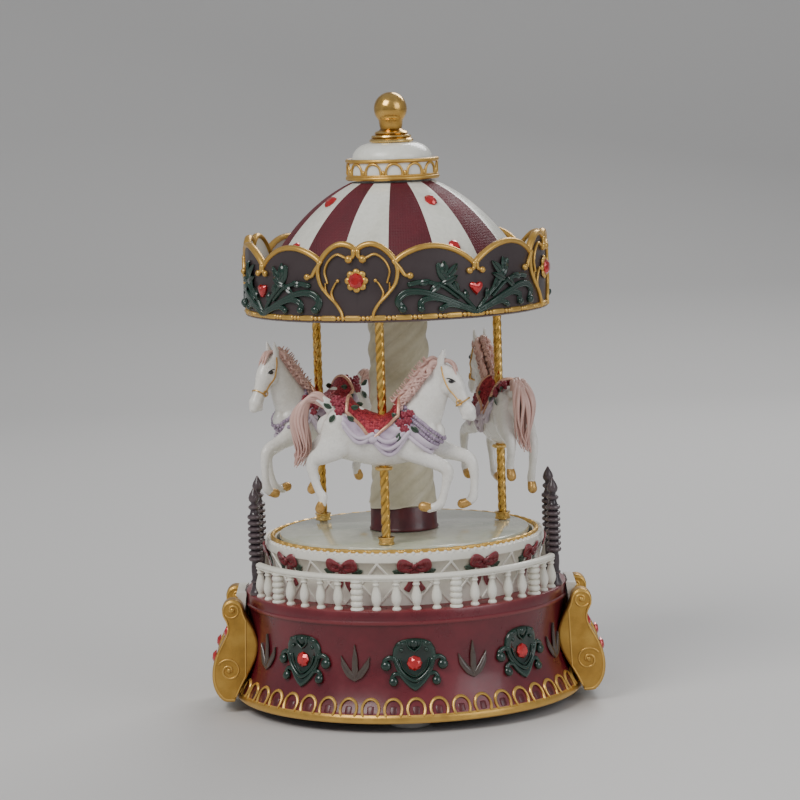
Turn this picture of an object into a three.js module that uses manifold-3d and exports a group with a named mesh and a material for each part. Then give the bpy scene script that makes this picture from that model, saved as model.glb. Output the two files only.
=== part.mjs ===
// Carousel music box: a turned base with a wind-up movement, a turntable with three
// galloping horses on twisted brass poles, and a striped canopy that turns with them.
// Millimetres, +Z up, origin on the table under the centre. Angles run from the front
// (-Y) towards +X, so a piece made at the front and turned by an angle lands there.
import * as THREE from 'three';
import { mergeVertices } from 'three/addons/utils/BufferGeometryUtils.js';
import Module from 'manifold-3d';

const wasm = await Module();
wasm.setup();

// Clearances
const REST_GAP = 0.3;
const RUN_GAP = 0.45;
const TURN_GAP = 1.0;

// Overall: the turntable's radius drives the plan, and these heights drive the rest.
const DISC_R = 57.6;
const DECK_Z = 53.5;
const RIDE_HEIGHT = 100.5;
const DOME_HEIGHT = 58.5;

// Base
const FOOT_HEIGHT = 4.5;
const FOOT_R = 9;
const FOOT_COUNT = 4;
const RIM_R = DISC_R + 22.4;
const FOOT_CIRCLE_R = RIM_R - 20;
const RIM_HEIGHT = 3.7;
const RIM_STEP = 1;
const WAIST_R = DISC_R + 13.9;
const WAIST_Z = DECK_Z - 19.5;
const FLARE_R = WAIST_R + 0.5;
const FLARE_Z = 19;
const CORNICE_R = WAIST_R + 2.5;
const CORNICE_HEIGHT = 6.6;
const BASE_WALL = 4;
const COVER_THICKNESS = 3;
const COVER_SEAT = 4.2;
const KEY_WELL_R = 21;
const COVER_SCREW_COUNT = 3;
const COVER_SCREW_R = 2.6;
const COVER_SCREW_CIRCLE_R = RIM_R - 10.5;
const COVER_SCREW_ANGLE = 45;

// Railings, posts and stairs
const RAIL_R = CORNICE_R - 3.5;
const RAIL_TOP_Z = DECK_Z + 15.7;
const RAIL_WIDTH = 3.8;
const RAIL_THICKNESS = 2.7;
const RAIL_HALF_ANGLE = 70.2;
const BALUSTER_PITCH = 7.2;
const BALUSTER_PAIRS = 10;
const BALUSTER_R = 1.9;
const STOUT_BALUSTER_R = 2.7;
const STOUT_EVERY = 5;
const POST_R = 3.3;
const POST_HEIGHT = 49.5;
const POST_CIRCLE_R = CORNICE_R - 3.7;
const POST_ANGLE = 74;
const BRACKET_THICKNESS = 9;
const BRACKET_SPREAD = 38;
const BRACKET_BOTTOM_Z = 5;
const BRACKET_REACH = RIM_R + 10;
const STAIR_TREADS = 4;
const STAIR_REACH = RIM_R + 7;

// Drum and cam
const DRUM_R = DISC_R + 2.9;
const DRUM_TOP_R = DISC_R + 6.8;
const DRUM_WALL = 2.5;
const DRUM_TOP_Z = DECK_Z + 23.5;
const DRUM_LIP = 4.2;
const CAM_WIDTH = 7;
const CAM_WAVES = 3;
const GALLOP = 2.9;

// Turntable, column and poles
const DISC_TOP_Z = DRUM_TOP_Z + 2;
const DISC_THICKNESS = 3;
const SHAFT_R = 3;
const SHAFT_FLANGE_R = 14;
const BUSH_R = 6.7;
const BUSH_FLANGE_R = 10;
const COLLAR_R = 15.8;
const COLLAR_HEIGHT = 12.5;
const COLUMN_FOOT_R = 14.4;
const COLUMN_TOP_R = 13.1;
const HORSE_COUNT = 3;
const HORSE_CIRCLE_R = DISC_R - 8.6;
const FIRST_HORSE_ANGLE = -9.5;
const HORSE_TURNS = [0, -5, -8];
const POLE_R = 2.05;
const CUP_R = 3.65;
const CUP_HEIGHT = 3.2;
const FOLLOWER_R = 3.2;
const FOLLOWER_HEIGHT = 5;
const GIRTH_Z = DISC_TOP_Z + 35.3;
const WASHER_R = 4;
const WASHER_HEIGHT = 1.5;

// Horse, as rows of [forward, side, height, half depth, half width] from the belly at the pole,
// for a horse HORSE_PATTERN long; the rows are scaled to HORSE_LENGTH.
const HORSE_PATTERN = 84;
const HORSE_LENGTH = 84;
const TRUNK = [
  [-25.5, 0, 18.7, 5, 4],
  [-20, 0, 17.2, 11.5, 8.5],
  [-9, 0, 13.7, 12, 8.6],
  [3, 0, 12.9, 12.6, 8.4],
  [14, 0, 15.2, 13, 8],
  [22, 0, 16.2, 9, 6],
  [25.5, 0, 15.7, 4.5, 3.5],
];
const NECK = [
  [12, 0, 17.7, 12, 6.5],
  [20, 0, 29.7, 8.5, 4.8],
  [27.5, 0, 41.2, 6.5, 4],
];
const HEAD = [
  [25, 0, 44.7, 3.5, 3.4],
  [31, 0, 37.2, 5.2, 4],
  [38, 0, 25.7, 3, 2.8],
];
const EARS = [
  [27.5, 0, 41.7, 2, 3.2],
  [28.5, 0, 48.7, 0.7, 2.4],
];
const NEAR_FORELEG = [
  [8, -4.4, 7.7, 6, 3.6],
  [29, -4.4, -0.3, 3, 2.4],
  [24.8, -4.4, -15.3, 1.8, 1.8],
  [17.5, -4.4, -17.3, 2.4, 2],
];
const FAR_FORELEG = [
  [18, 5, 9.7, 6, 3.6],
  [37, 5.5, 3.1, 3, 2.4],
  [38.6, 5.5, -13.3, 1.8, 1.8],
  [33.9, 5.5, -17.3, 2.2, 2],
];
const NEAR_HIND_LEG = [
  [-19, -5, 14.7, 8, 3.8],
  [-30, -5.5, 3.7, 3.2, 2.4],
  [-27.5, -5.5, -10.3, 1.8, 1.8],
  [-28.6, -5.5, -18.3, 2.3, 2],
];
const FAR_HIND_LEG = [
  [-19, 5, 14.7, 8, 3.8],
  [-33.5, 5.5, 5.7, 3.2, 2.4],
  [-32, 5.5, -4.3, 1.8, 1.8],
  [-34, 5.5, -11.7, 2.3, 2],
];
const TAIL = [
  [-22, 0, 24.7, 3.5, 3],
  [-33, 0, 30.2, 4, 3.2],
  [-38, 0, 18.7, 4.4, 3.6],
  [-37, 0, 4.7, 2.2, 2],
];

// Canopy
const CANOPY_Z = DISC_TOP_Z + RIDE_HEIGHT;
const CANOPY_R = DISC_R + 11.7;
const POLE_TOP_Z = CANOPY_Z + 12.5;
const VALANCE_WALL = 2.4;
const CEILING_THICKNESS = 2.7;
const REPEATS = 4;
const HEART_ANGLE = -14.5;
const HEART_HALF = 14.5;
const LEAF_HALF = 30.5;
const HEART_HEIGHT = 34;
const HEART_NOTCH = 31;
const LEAF_HEIGHT = 32.5;
const LEAF_NOTCH = 23;
const PANEL_NOTCH = 26;
const DOME_FOOT_R = CANOPY_R - 5.3;
const DOME_TOP_R = 19;
const DOME_TOP_Z = CANOPY_Z + DOME_HEIGHT;
const DOME_WALL = 2.6;
const CROWN_R = 21;
const CROWN_HEIGHT = 9.5;
const CROWN_WALL = 2;
const CAP_R = 17.8;
const CAP_FLAT_R = 10.9;
const CAP_HEIGHT = 8;
const FINIAL_BASE_R = 9.8;
const FINIAL_BASE_HEIGHT = 5;
const FINIAL_NECK_R = 3;
const FINIAL_BALL_R = 7.5;
const FINIAL_HEIGHT = 22.5;

// Movement
const BEDPLATE_MARGIN = 4;
const BEDPLATE_WIDTH = 46;
const BEDPLATE_THICKNESS = 2.2;
const BARREL_R = 15;
const BARREL_HEIGHT = 6.3;
const CROWN_GEAR_TEETH = 24;
const PINION_TEETH = 8;
const TOOTH_MODULE = 1;
const CYLINDER_R = 6.2;
const CYLINDER_LENGTH = 26;
const PIN_HEIGHT = 0.8;
const PIN_ROWS = 9;
const PINS_PER_ROW = 2;
const COMB_TEETH = 18;
const COMB_LENGTH = 15;
const COMB_THICKNESS = 1.2;
const COMB_BACK_DEPTH = 6;
const COMB_SEAT_DEPTH = 5;
const BEARING_DEPTH = 6;
const BEARING_CROWN = 2;
const PINION_WIDTH = 4;
const PINION_MESH = 2.5;
const AXLE_R = 1;
const FAN_R = 5;
const ARBOR_R = 2.4;
const KEY_WIDTH = 22;
const KEY_HEAD_ROOM = 7;
const KEY_THICKNESS = 2.5;

// Facets
const WIDE_SIDES = 30;
const MIDDLE_SIDES = 20;
const SMALL_SIDES = 10;
const ROD_SIDES = 8;
const LIMB_SIDES = 5;
const TRUNK_SIDES = 8;
const HEAD_SIDES = 6;
const EAR_SIDES = 4;
const BALUSTER_SIDES = 4;

const BASE_Z = FOOT_HEIGHT;
const COVER_TOP_Z = BASE_Z + COVER_SEAT - REST_GAP;
const COVER_BOTTOM_Z = COVER_TOP_Z - COVER_THICKNESS;
const COVER_R = RIM_R - RIM_STEP - BASE_WALL;
const DISC_BOTTOM_Z = DISC_TOP_Z - DISC_THICKNESS;
const FOLLOWER_TOP_Z = DISC_BOTTOM_Z - TURN_GAP;
const CAM_PEAK_Z = FOLLOWER_TOP_Z - FOLLOWER_HEIGHT - 2 * GALLOP - REST_GAP;
const CEILING_Z = CANOPY_Z + 0.5;
const CROWN_Z = DOME_TOP_Z + 1;
const SLIDE_HOLE_R = POLE_R + RUN_GAP;

// The movement hangs under the deck; the key well takes the height that is left.
const PINION_PITCH_R = TOOTH_MODULE * PINION_TEETH / 2;
const CROWN_GEAR_R = TOOTH_MODULE * CROWN_GEAR_TEETH / 2;
const BARREL_Z = DECK_Z - BASE_WALL - TURN_GAP - BARREL_HEIGHT;
const CYLINDER_Z = BARREL_Z - TOOTH_MODULE - PINION_PITCH_R;
const BEDPLATE_TOP_Z = CYLINDER_Z - CYLINDER_R - PIN_HEIGHT - REST_GAP;
const BEDPLATE_Z = BEDPLATE_TOP_Z - BEDPLATE_THICKNESS;
const WELL_TOP_Z = BEDPLATE_Z - REST_GAP - COVER_THICKNESS;
const KEY_HEIGHT = WELL_TOP_Z - COVER_BOTTOM_Z - KEY_HEAD_ROOM;

const object = new THREE.Group();

// ---- Small tools ---------------------------------------------------------------------

function rad(degrees) {
  return THREE.MathUtils.degToRad(degrees);
}

// A turned piece about Z; the outline runs up the outside and down the inside.
function turned(outline, sides) {
  const points = outline.map(([r, z]) => new THREE.Vector2(r, z));
  const geometry = new THREE.LatheGeometry(points, sides);
  geometry.rotateX(Math.PI / 2);
  return geometry;
}

// A round or pierced disc between two heights.
function ring(outerR, innerR, lowZ, highZ, sides) {
  if (innerR === 0) {
    return turned([[0, lowZ], [outerR, lowZ], [outerR, highZ], [0, highZ]], sides);
  }
  const outline = [[innerR, lowZ], [outerR, lowZ], [outerR, highZ], [innerR, highZ], [innerR, lowZ]];
  return turned(outline, sides);
}

// A flat outline in X and Z given a thickness along Y, centred on Y = 0.
function upright(shape, thickness) {
  const settings = { depth: thickness, bevelEnabled: false, curveSegments: 5 };
  const geometry = new THREE.ExtrudeGeometry(shape, settings);
  geometry.translate(0, 0, -thickness / 2);
  geometry.rotateX(Math.PI / 2);
  return geometry;
}

function box(lengthX, widthY, heightZ, x, y, z) {
  const geometry = new THREE.BoxGeometry(lengthX, widthY, heightZ);
  geometry.translate(x, y, z);
  return geometry;
}

function solidOf(geometry) {
  const bare = geometry.clone();
  bare.deleteAttribute('normal');
  bare.deleteAttribute('uv');
  const merged = mergeVertices(bare, 1e-4);
  const corners = merged.index.array;
  const kept = [];
  for (let i = 0; i < corners.length; i += 3) {
    const [a, b, c] = [corners[i], corners[i + 1], corners[i + 2]];
    if (a !== b && b !== c && c !== a) {
      kept.push(a, b, c);
    }
  }
  return new wasm.Manifold(new wasm.Mesh({
    numProp: 3,
    vertProperties: merged.attributes.position.array,
    triVerts: new Uint32Array(kept),
  }));
}

function geometryOf(solid) {
  const mesh = solid.getMesh();
  const geometry = new THREE.BufferGeometry();
  geometry.setAttribute('position', new THREE.BufferAttribute(mesh.vertProperties, 3));
  geometry.setIndex(new THREE.BufferAttribute(mesh.triVerts, 1));
  geometry.computeVertexNormals();
  return geometry;
}

function joined(geometries) {
  return geometryOf(geometries.map(solidOf).reduce((whole, next) => whole.add(next)));
}

function cut(geometry, tools) {
  return geometryOf(tools.map(solidOf).reduce((whole, tool) => whole.subtract(tool), solidOf(geometry)));
}

// A finish: colour, roughness, metalness.
const FINISHES = {
  red: [0x7a1c28, 0.35, 0],
  cream: [0xe9e4d4, 0.5, 0],
  ivory: [0xf1eee8, 0.4, 0],
  gold: [0xb08642, 0.45, 0.6],
  brass: [0xc79a3f, 0.3, 1],
  plum: [0x382a2e, 0.4, 0],
  brown: [0x3c2d32, 0.45, 0],
  marble: [0xc9ccbd, 0.25, 0],
  pad: [0xb9b6ae, 0.7, 0],
  steel: [0x9a9ca0, 0.35, 1],
  black: [0x1d1d1f, 0.6, 0],
  dark_red: [0x5d1620, 0.4, 0],
};

// Adds one named piece, moved out from the centre and then turned about Z.
function add(name, geometry, finish, angle = 0, place = [0, 0, 0]) {
  const [color, roughness, metalness] = FINISHES[finish];
  const material = new THREE.MeshStandardMaterial({ color, roughness, metalness });
  const mesh = new THREE.Mesh(geometry, material);
  mesh.name = name;
  mesh.position.set(...place);
  const turn = new THREE.Group();
  turn.rotation.z = rad(angle);
  turn.add(mesh);
  object.add(turn);
}

// ---- Base ----------------------------------------------------------------------------

// The outside of the base above the rim: flared foot, narrow waist, upright cornice.
function baseSide(offset) {
  const flare = new THREE.QuadraticBezierCurve(
    new THREE.Vector2(RIM_R - RIM_STEP + offset, BASE_Z + RIM_HEIGHT),
    new THREE.Vector2(FLARE_R + offset, FLARE_Z),
    new THREE.Vector2(WAIST_R + offset, WAIST_Z),
  );
  const side = flare.getPoints(4).map((p) => [p.x, p.y]);
  side.push([CORNICE_R + offset, DECK_Z - CORNICE_HEIGHT]);
  return side;
}

function baseShell() {
  const deckUnderZ = DECK_Z - BASE_WALL;
  const outline = [
    [RIM_R - BASE_WALL, BASE_Z],
    [RIM_R, BASE_Z],
    [RIM_R, BASE_Z + RIM_HEIGHT],
    ...baseSide(0),
    [CORNICE_R, DECK_Z],
    [BUSH_R + REST_GAP, DECK_Z],
    [BUSH_R + REST_GAP, deckUnderZ],
    [WAIST_R - BASE_WALL, deckUnderZ],
    [WAIST_R - BASE_WALL, WAIST_Z],
    [COVER_R - BASE_WALL / 2, BASE_Z + COVER_SEAT],
    [COVER_R + REST_GAP, BASE_Z + COVER_SEAT],
    [RIM_R - BASE_WALL, BASE_Z],
  ];
  return turned(outline, WIDE_SIDES);
}

function coverScrewAngle(i) {
  return COVER_SCREW_ANGLE + i * 360 / COVER_SCREW_COUNT;
}

function bottomCover() {
  const outline = [
    [COVER_R - REST_GAP, COVER_BOTTOM_Z],
    [COVER_R - REST_GAP, COVER_TOP_Z],
    [KEY_WELL_R + COVER_THICKNESS, COVER_TOP_Z],
    [KEY_WELL_R + COVER_THICKNESS, WELL_TOP_Z + COVER_THICKNESS],
    [ARBOR_R + RUN_GAP, WELL_TOP_Z + COVER_THICKNESS],
    [ARBOR_R + RUN_GAP, WELL_TOP_Z],
    [KEY_WELL_R, WELL_TOP_Z],
    [KEY_WELL_R, COVER_BOTTOM_Z],
    [COVER_R - REST_GAP, COVER_BOTTOM_Z],
  ];
  const holes = [];
  for (let i = 0; i < COVER_SCREW_COUNT; i += 1) {
    const hole = ring(COVER_SCREW_R + REST_GAP, 0, 0, COVER_TOP_Z + 1, SMALL_SIDES);
    hole.translate(0, -COVER_SCREW_CIRCLE_R, 0);
    hole.rotateZ(rad(coverScrewAngle(i)));
    holes.push(hole);
  }
  return cut(turned(outline, WIDE_SIDES), holes);
}

add('base_shell', baseShell(), 'red');
add('bottom_cover', bottomCover(), 'black');
for (let i = 0; i < FOOT_COUNT; i += 1) {
  const pad = ring(FOOT_R, 0, 0, COVER_BOTTOM_Z - REST_GAP, MIDDLE_SIDES);
  add(`foot_pad_${i + 1}`, pad, 'pad', i * 360 / FOOT_COUNT, [0, -FOOT_CIRCLE_R, 0]);
}
for (let i = 0; i < COVER_SCREW_COUNT; i += 1) {
  const screw = ring(COVER_SCREW_R, 0, COVER_BOTTOM_Z, COVER_TOP_Z, SMALL_SIDES);
  add(`cover_screw_${i + 1}`, screw, 'steel', coverScrewAngle(i), [0, -COVER_SCREW_CIRCLE_R, 0]);
}

// ---- Railings, newel posts, stair cheeks and stairs -----------------------------------

function railing() {
  const half = RAIL_WIDTH / 2;
  const start = rad(-90 - RAIL_HALF_ANGLE);
  const end = rad(-90 + RAIL_HALF_ANGLE);
  const plan = new THREE.Shape();
  plan.absarc(0, 0, RAIL_R + half, start, end, false);
  plan.absarc(0, 0, RAIL_R - half, end, start, true);
  const rail = new THREE.ExtrudeGeometry(plan, {
    depth: RAIL_THICKNESS,
    bevelEnabled: false,
    curveSegments: MIDDLE_SIDES,
  });
  rail.translate(0, 0, RAIL_TOP_Z - RAIL_THICKNESS);
  const pieces = [rail];
  for (let i = 0; i < BALUSTER_PAIRS; i += 1) {
    const stout = i % STOUT_EVERY === 2;
    const r = stout ? STOUT_BALUSTER_R : BALUSTER_R;
    const angle = (i + 0.5) * BALUSTER_PITCH;
    for (const side of [-1, 1]) {
      const baluster = ring(r, 0, DECK_Z + REST_GAP, RAIL_TOP_Z - RAIL_THICKNESS / 2, BALUSTER_SIDES);
      baluster.translate(0, -RAIL_R, 0);
      baluster.rotateZ(rad(side * angle));
      pieces.push(baluster);
    }
  }
  return joined(pieces);
}

function newelPost() {
  const foot = DECK_Z + REST_GAP;
  const top = DECK_Z + POST_HEIGHT;
  const shaft = POST_R * 0.72;
  const outline = [
    [0, foot],
    [POST_R, foot],
    [shaft, foot + POST_HEIGHT * 0.1],
    [shaft, foot + POST_HEIGHT * 0.28],
    [POST_R, foot + POST_HEIGHT * 0.34],
    [POST_R, top - POST_HEIGHT * 0.2],
    [shaft, top - POST_HEIGHT * 0.15],
    [shaft, top - POST_HEIGHT * 0.05],
    [0, top],
  ];
  return turned(outline, ROD_SIDES);
}

// The stair cheek: small scroll at deck height, slim neck, wide scroll at the foot.
function bracketOutline() {
  const neckX = BRACKET_REACH - 10.5;
  const shape = new THREE.Shape();
  shape.moveTo(BRACKET_REACH - 10, BRACKET_BOTTOM_Z);
  shape.lineTo(BRACKET_REACH - 5, BRACKET_BOTTOM_Z);
  shape.bezierCurveTo(BRACKET_REACH + 0.6, 10, BRACKET_REACH + 1, 20, BRACKET_REACH - 3.4, 30);
  shape.bezierCurveTo(BRACKET_REACH - 6, 36, neckX + 1, 38, neckX + 2.6, 43.5);
  shape.absarc(neckX, 47.4, 4.7, rad(-40), rad(175), false);
  shape.lineTo(neckX - 4.7, 44);
  shape.bezierCurveTo(neckX - 6, 40, WAIST_R - 4, 37, WAIST_R - 4, 30);
  shape.bezierCurveTo(WAIST_R - 3, 22, WAIST_R + 4, 14, BRACKET_REACH - 10, BRACKET_BOTTOM_Z);
  return shape;
}

// What has to stay clear of pieces that stand against the base.
function baseEnvelope() {
  const outline = [
    [0, BASE_Z - 2],
    [RIM_R + REST_GAP, BASE_Z - 2],
    [RIM_R + REST_GAP, BASE_Z + RIM_HEIGHT + REST_GAP],
    ...baseSide(REST_GAP),
    [CORNICE_R + REST_GAP, DECK_Z + REST_GAP],
    [0, DECK_Z + REST_GAP],
  ];
  return turned(outline, WIDE_SIDES);
}

function scrollBracket(y) {
  const plate = upright(bracketOutline(), BRACKET_THICKNESS);
  plate.translate(0, y, 0);
  return cut(plate, [baseEnvelope()]);
}

function entryStairs() {
  const width = BRACKET_SPREAD - BRACKET_THICKNESS - 2 * REST_GAP;
  const rise = (DECK_Z - BASE_Z) / STAIR_TREADS;
  const going = (STAIR_REACH - CORNICE_R) / STAIR_TREADS;
  const shape = new THREE.Shape();
  shape.moveTo(WAIST_R - 4, BASE_Z);
  shape.lineTo(STAIR_REACH, BASE_Z);
  for (let i = 0; i < STAIR_TREADS; i += 1) {
    shape.lineTo(STAIR_REACH - i * going, BASE_Z + (i + 1) * rise);
    shape.lineTo(STAIR_REACH - (i + 1) * going, BASE_Z + (i + 1) * rise);
  }
  shape.lineTo(WAIST_R - 4, DECK_Z);
  return cut(upright(shape, width), [baseEnvelope()]);
}

const DECK_ENDS = { front: 0, rear: 180 };
const SIDES = { right: 0, left: 180 };
for (const [end, angle] of Object.entries(DECK_ENDS)) {
  add(`${end}_railing`, railing(), 'cream', angle);
  for (const side of [-1, 1]) {
    const name = `newel_post_${end}_${side < 0 ? 'a' : 'b'}`;
    add(name, newelPost(), 'brown', angle + side * POST_ANGLE, [0, -POST_CIRCLE_R, 0]);
  }
}
for (const [side, angle] of Object.entries(SIDES)) {
  add(`entry_stairs_${side}`, entryStairs(), 'cream', angle);
  for (const hand of [-1, 1]) {
    const name = `scroll_bracket_${side}_${hand < 0 ? 'a' : 'b'}`;
    add(name, scrollBracket(hand * BRACKET_SPREAD / 2), 'gold', angle);
  }
}

// ---- Drum, cam and shaft bush ----------------------------------------------------------

function latticeDrum() {
  const foot = DECK_Z + REST_GAP;
  const outline = [
    [DRUM_R - DRUM_WALL, foot],
    [DRUM_R, foot],
    [DRUM_R + 0.5, DRUM_TOP_Z - 2.6 * DRUM_LIP],
    [DRUM_TOP_R, DRUM_TOP_Z - DRUM_LIP],
    [DRUM_TOP_R, DRUM_TOP_Z],
    [DISC_R + TURN_GAP, DRUM_TOP_Z],
    [DISC_R + TURN_GAP, DRUM_TOP_Z - DRUM_LIP],
    [DRUM_R - DRUM_WALL, DRUM_TOP_Z - 2.6 * DRUM_LIP],
    [DRUM_R - DRUM_WALL, foot],
  ];
  return turned(outline, WIDE_SIDES);
}

// A ring whose upper edge follows a height at each angle.
function crownedRing(outerR, innerR, lowZ, heightAt, steps) {
  const positions = [];
  const index = [];
  for (let i = 0; i < steps; i += 1) {
    const degrees = i * 360 / steps;
    const dir = [Math.sin(rad(degrees)), -Math.cos(rad(degrees))];
    const top = heightAt(degrees);
    for (const [r, z] of [[innerR, lowZ], [outerR, lowZ], [outerR, top], [innerR, top]]) {
      positions.push(r * dir[0], r * dir[1], z);
    }
    const here = 4 * i;
    const next = 4 * ((i + 1) % steps);
    for (let k = 0; k < 4; k += 1) {
      const k2 = (k + 1) % 4;
      index.push(here + k, next + k, next + k2);
      index.push(here + k, next + k2, here + k2);
    }
  }
  const geometry = new THREE.BufferGeometry();
  geometry.setAttribute('position', new THREE.Float32BufferAttribute(positions, 3));
  geometry.setIndex(index);
  geometry.computeVertexNormals();
  return geometry;
}

function camRing() {
  const half = CAM_WIDTH / 2;
  const middle = CAM_PEAK_Z - GALLOP;
  const height = (degrees) => middle + GALLOP * Math.cos(CAM_WAVES * rad(degrees - FIRST_HORSE_ANGLE));
  const foot = DECK_Z + REST_GAP;
  return crownedRing(HORSE_CIRCLE_R + half, HORSE_CIRCLE_R - half, foot, height, WIDE_SIDES);
}

function shaftBush() {
  const bore = SHAFT_R + RUN_GAP;
  const seat = DECK_Z + REST_GAP;
  const outline = [
    [bore, DECK_Z - BASE_WALL],
    [BUSH_R, DECK_Z - BASE_WALL],
    [BUSH_R, seat],
    [BUSH_FLANGE_R, seat],
    [BUSH_FLANGE_R, seat + 1.5],
    [bore, seat + 1.5],
    [bore, DECK_Z - BASE_WALL],
  ];
  return turned(outline, SMALL_SIDES);
}

add('lattice_drum', latticeDrum(), 'cream');
add('cam_ring', camRing(), 'black');
add('shaft_bush', shaftBush(), 'brass');

// ---- Movement ----------------------------------------------------------------------------

const CYLINDER_START_X = BARREL_R + 4;
const BEARING_WIDTH = 1.6;
const FAR_BEARING_X = CYLINDER_START_X + CYLINDER_LENGTH + RUN_GAP + BEARING_WIDTH / 2;
const FAN_Y = -(CYLINDER_R + FAN_R + 3);
const FAN_HEIGHT = 9;

function alongX(geometry) {
  geometry.rotateY(Math.PI / 2);
  return geometry;
}

function bedplate() {
  const plateEnd = FAR_BEARING_X + BEARING_WIDTH / 2 + BEDPLATE_MARGIN;
  const plateLength = plateEnd + BARREL_R;
  const plateX = plateEnd - plateLength / 2;
  const plateZ = BEDPLATE_Z + BEDPLATE_THICKNESS / 2;
  const plate = box(plateLength, BEDPLATE_WIDTH, BEDPLATE_THICKNESS, plateX, 0, plateZ);
  const postHeight = CYLINDER_Z + AXLE_R + BEARING_CROWN - plateZ;
  const bearing = box(BEARING_WIDTH, BEARING_DEPTH, postHeight, FAR_BEARING_X, 0, plateZ + postHeight / 2);
  const combSeatHeight = CYLINDER_Z - COMB_THICKNESS / 2 - REST_GAP - plateZ;
  const combSeatX = CYLINDER_START_X + CYLINDER_LENGTH / 2;
  const combSeatY = CYLINDER_R + PIN_HEIGHT + COMB_LENGTH - COMB_BACK_DEPTH / 2;
  const combSeatZ = plateZ + combSeatHeight / 2;
  const combSeat = box(CYLINDER_LENGTH, COMB_SEAT_DEPTH, combSeatHeight, combSeatX, combSeatY, combSeatZ);
  const arborHole = ring(ARBOR_R + RUN_GAP, 0, BEDPLATE_Z - 1, BEDPLATE_TOP_Z + 1, SMALL_SIDES);
  const axleHole = alongX(ring(AXLE_R + RUN_GAP, 0, -BEARING_WIDTH, BEARING_WIDTH, ROD_SIDES));
  axleHole.translate(FAR_BEARING_X, 0, CYLINDER_Z);
  return cut(joined([plate, bearing, combSeat]), [arborHole, axleHole]);
}

// Steel comb: a back bar with tuned teeth that reach towards the pinned cylinder.
function comb() {
  const tipY = CYLINDER_R + PIN_HEIGHT + RUN_GAP;
  const pitch = CYLINDER_LENGTH / COMB_TEETH;
  const backY = tipY + COMB_LENGTH - COMB_BACK_DEPTH / 2;
  const middleX = CYLINDER_START_X + CYLINDER_LENGTH / 2;
  const pieces = [box(CYLINDER_LENGTH, COMB_BACK_DEPTH, COMB_THICKNESS, middleX, backY, CYLINDER_Z)];
  for (let i = 0; i < COMB_TEETH; i += 1) {
    const x = CYLINDER_START_X + (i + 0.5) * pitch;
    const length = COMB_LENGTH - COMB_BACK_DEPTH / 2;
    pieces.push(box(pitch * 0.6, length, COMB_THICKNESS * 0.8, x, tipY + length / 2, CYLINDER_Z));
  }
  return joined(pieces);
}

// Pinned cylinder with its axle and the pinion that the crown gear drives.
function pinnedCylinder() {
  const endX = FAR_BEARING_X + BEARING_WIDTH;
  const startX = CROWN_GEAR_R - PINION_MESH;
  const drumEnd = CYLINDER_START_X + CYLINDER_LENGTH;
  const drum = alongX(ring(CYLINDER_R, 0, CYLINDER_START_X, drumEnd, MIDDLE_SIDES));
  const axle = alongX(ring(AXLE_R, 0, startX, endX, ROD_SIDES));
  const rootR = PINION_PITCH_R - TOOTH_MODULE;
  const pieces = [drum, axle, alongX(ring(rootR, 0, startX, startX + PINION_WIDTH, PINION_TEETH))];
  for (let i = 0; i < PINION_TEETH; i += 1) {
    const toothX = startX + PINION_WIDTH / 2;
    const tooth = box(PINION_WIDTH, TOOTH_MODULE, TOOTH_MODULE * 2, toothX, 0, rootR + TOOTH_MODULE * 0.6);
    tooth.rotateX(rad(i * 360 / PINION_TEETH));
    pieces.push(tooth);
  }
  for (let row = 0; row < PIN_ROWS; row += 1) {
    const x = CYLINDER_START_X + (row + 0.5) * CYLINDER_LENGTH / PIN_ROWS;
    for (let i = 0; i < PINS_PER_ROW; i += 1) {
      const pin = box(0.5, 0.5, PIN_HEIGHT * 2, x, 0, CYLINDER_R);
      pin.rotateX(rad((i / PINS_PER_ROW + row * 0.382) * 360));
      pieces.push(pin);
    }
  }
  const whole = joined(pieces);
  whole.translate(0, 0, CYLINDER_Z);
  return whole;
}

// Spring barrel with the crown gear cut in its lower rim.
function springBarrel() {
  const pieces = [ring(BARREL_R, 0, BARREL_Z, BARREL_Z + BARREL_HEIGHT, MIDDLE_SIDES)];
  for (let i = 0; i < CROWN_GEAR_TEETH; i += 1) {
    const tooth = box(3, TOOTH_MODULE, TOOTH_MODULE * 1.6, CROWN_GEAR_R, 0, BARREL_Z - TOOTH_MODULE * 0.4);
    tooth.rotateZ(rad((i + 0.5) * 360 / CROWN_GEAR_TEETH));
    pieces.push(tooth);
  }
  return joined(pieces);
}

// Air governor: a stub arbor with two vanes that spin fast and hold the tempo.
function governorFan() {
  const foot = BEDPLATE_TOP_Z + REST_GAP;
  const arbor = ring(AXLE_R, 0, foot, foot + FAN_HEIGHT + 2, ROD_SIDES);
  const vanes = box(2 * FAN_R, 0.8, FAN_HEIGHT - 2, 0, 0, foot + 2 + FAN_HEIGHT / 2);
  const fan = joined([arbor, vanes]);
  fan.translate(CYLINDER_START_X + CYLINDER_LENGTH / 2, FAN_Y, 0);
  return fan;
}

function windingKey() {
  const wingZ = COVER_BOTTOM_Z + 1;
  const wing = new THREE.Shape();
  wing.absellipse(0, wingZ + KEY_HEIGHT / 2, KEY_WIDTH / 2, KEY_HEIGHT / 2, 0, 2 * Math.PI);
  const arbor = ring(ARBOR_R, 0, wingZ + KEY_HEIGHT - 2, BARREL_Z - RUN_GAP, SMALL_SIDES);
  return joined([upright(wing, KEY_THICKNESS), arbor]);
}

add('movement_bedplate', bedplate(), 'brass');
add('tuned_comb', comb(), 'steel');
add('pinned_cylinder', pinnedCylinder(), 'brass');
add('spring_barrel', springBarrel(), 'steel');
add('governor_fan', governorFan(), 'black');
add('winding_key', windingKey(), 'brass');

// ---- Turntable and column ------------------------------------------------------------------

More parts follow.
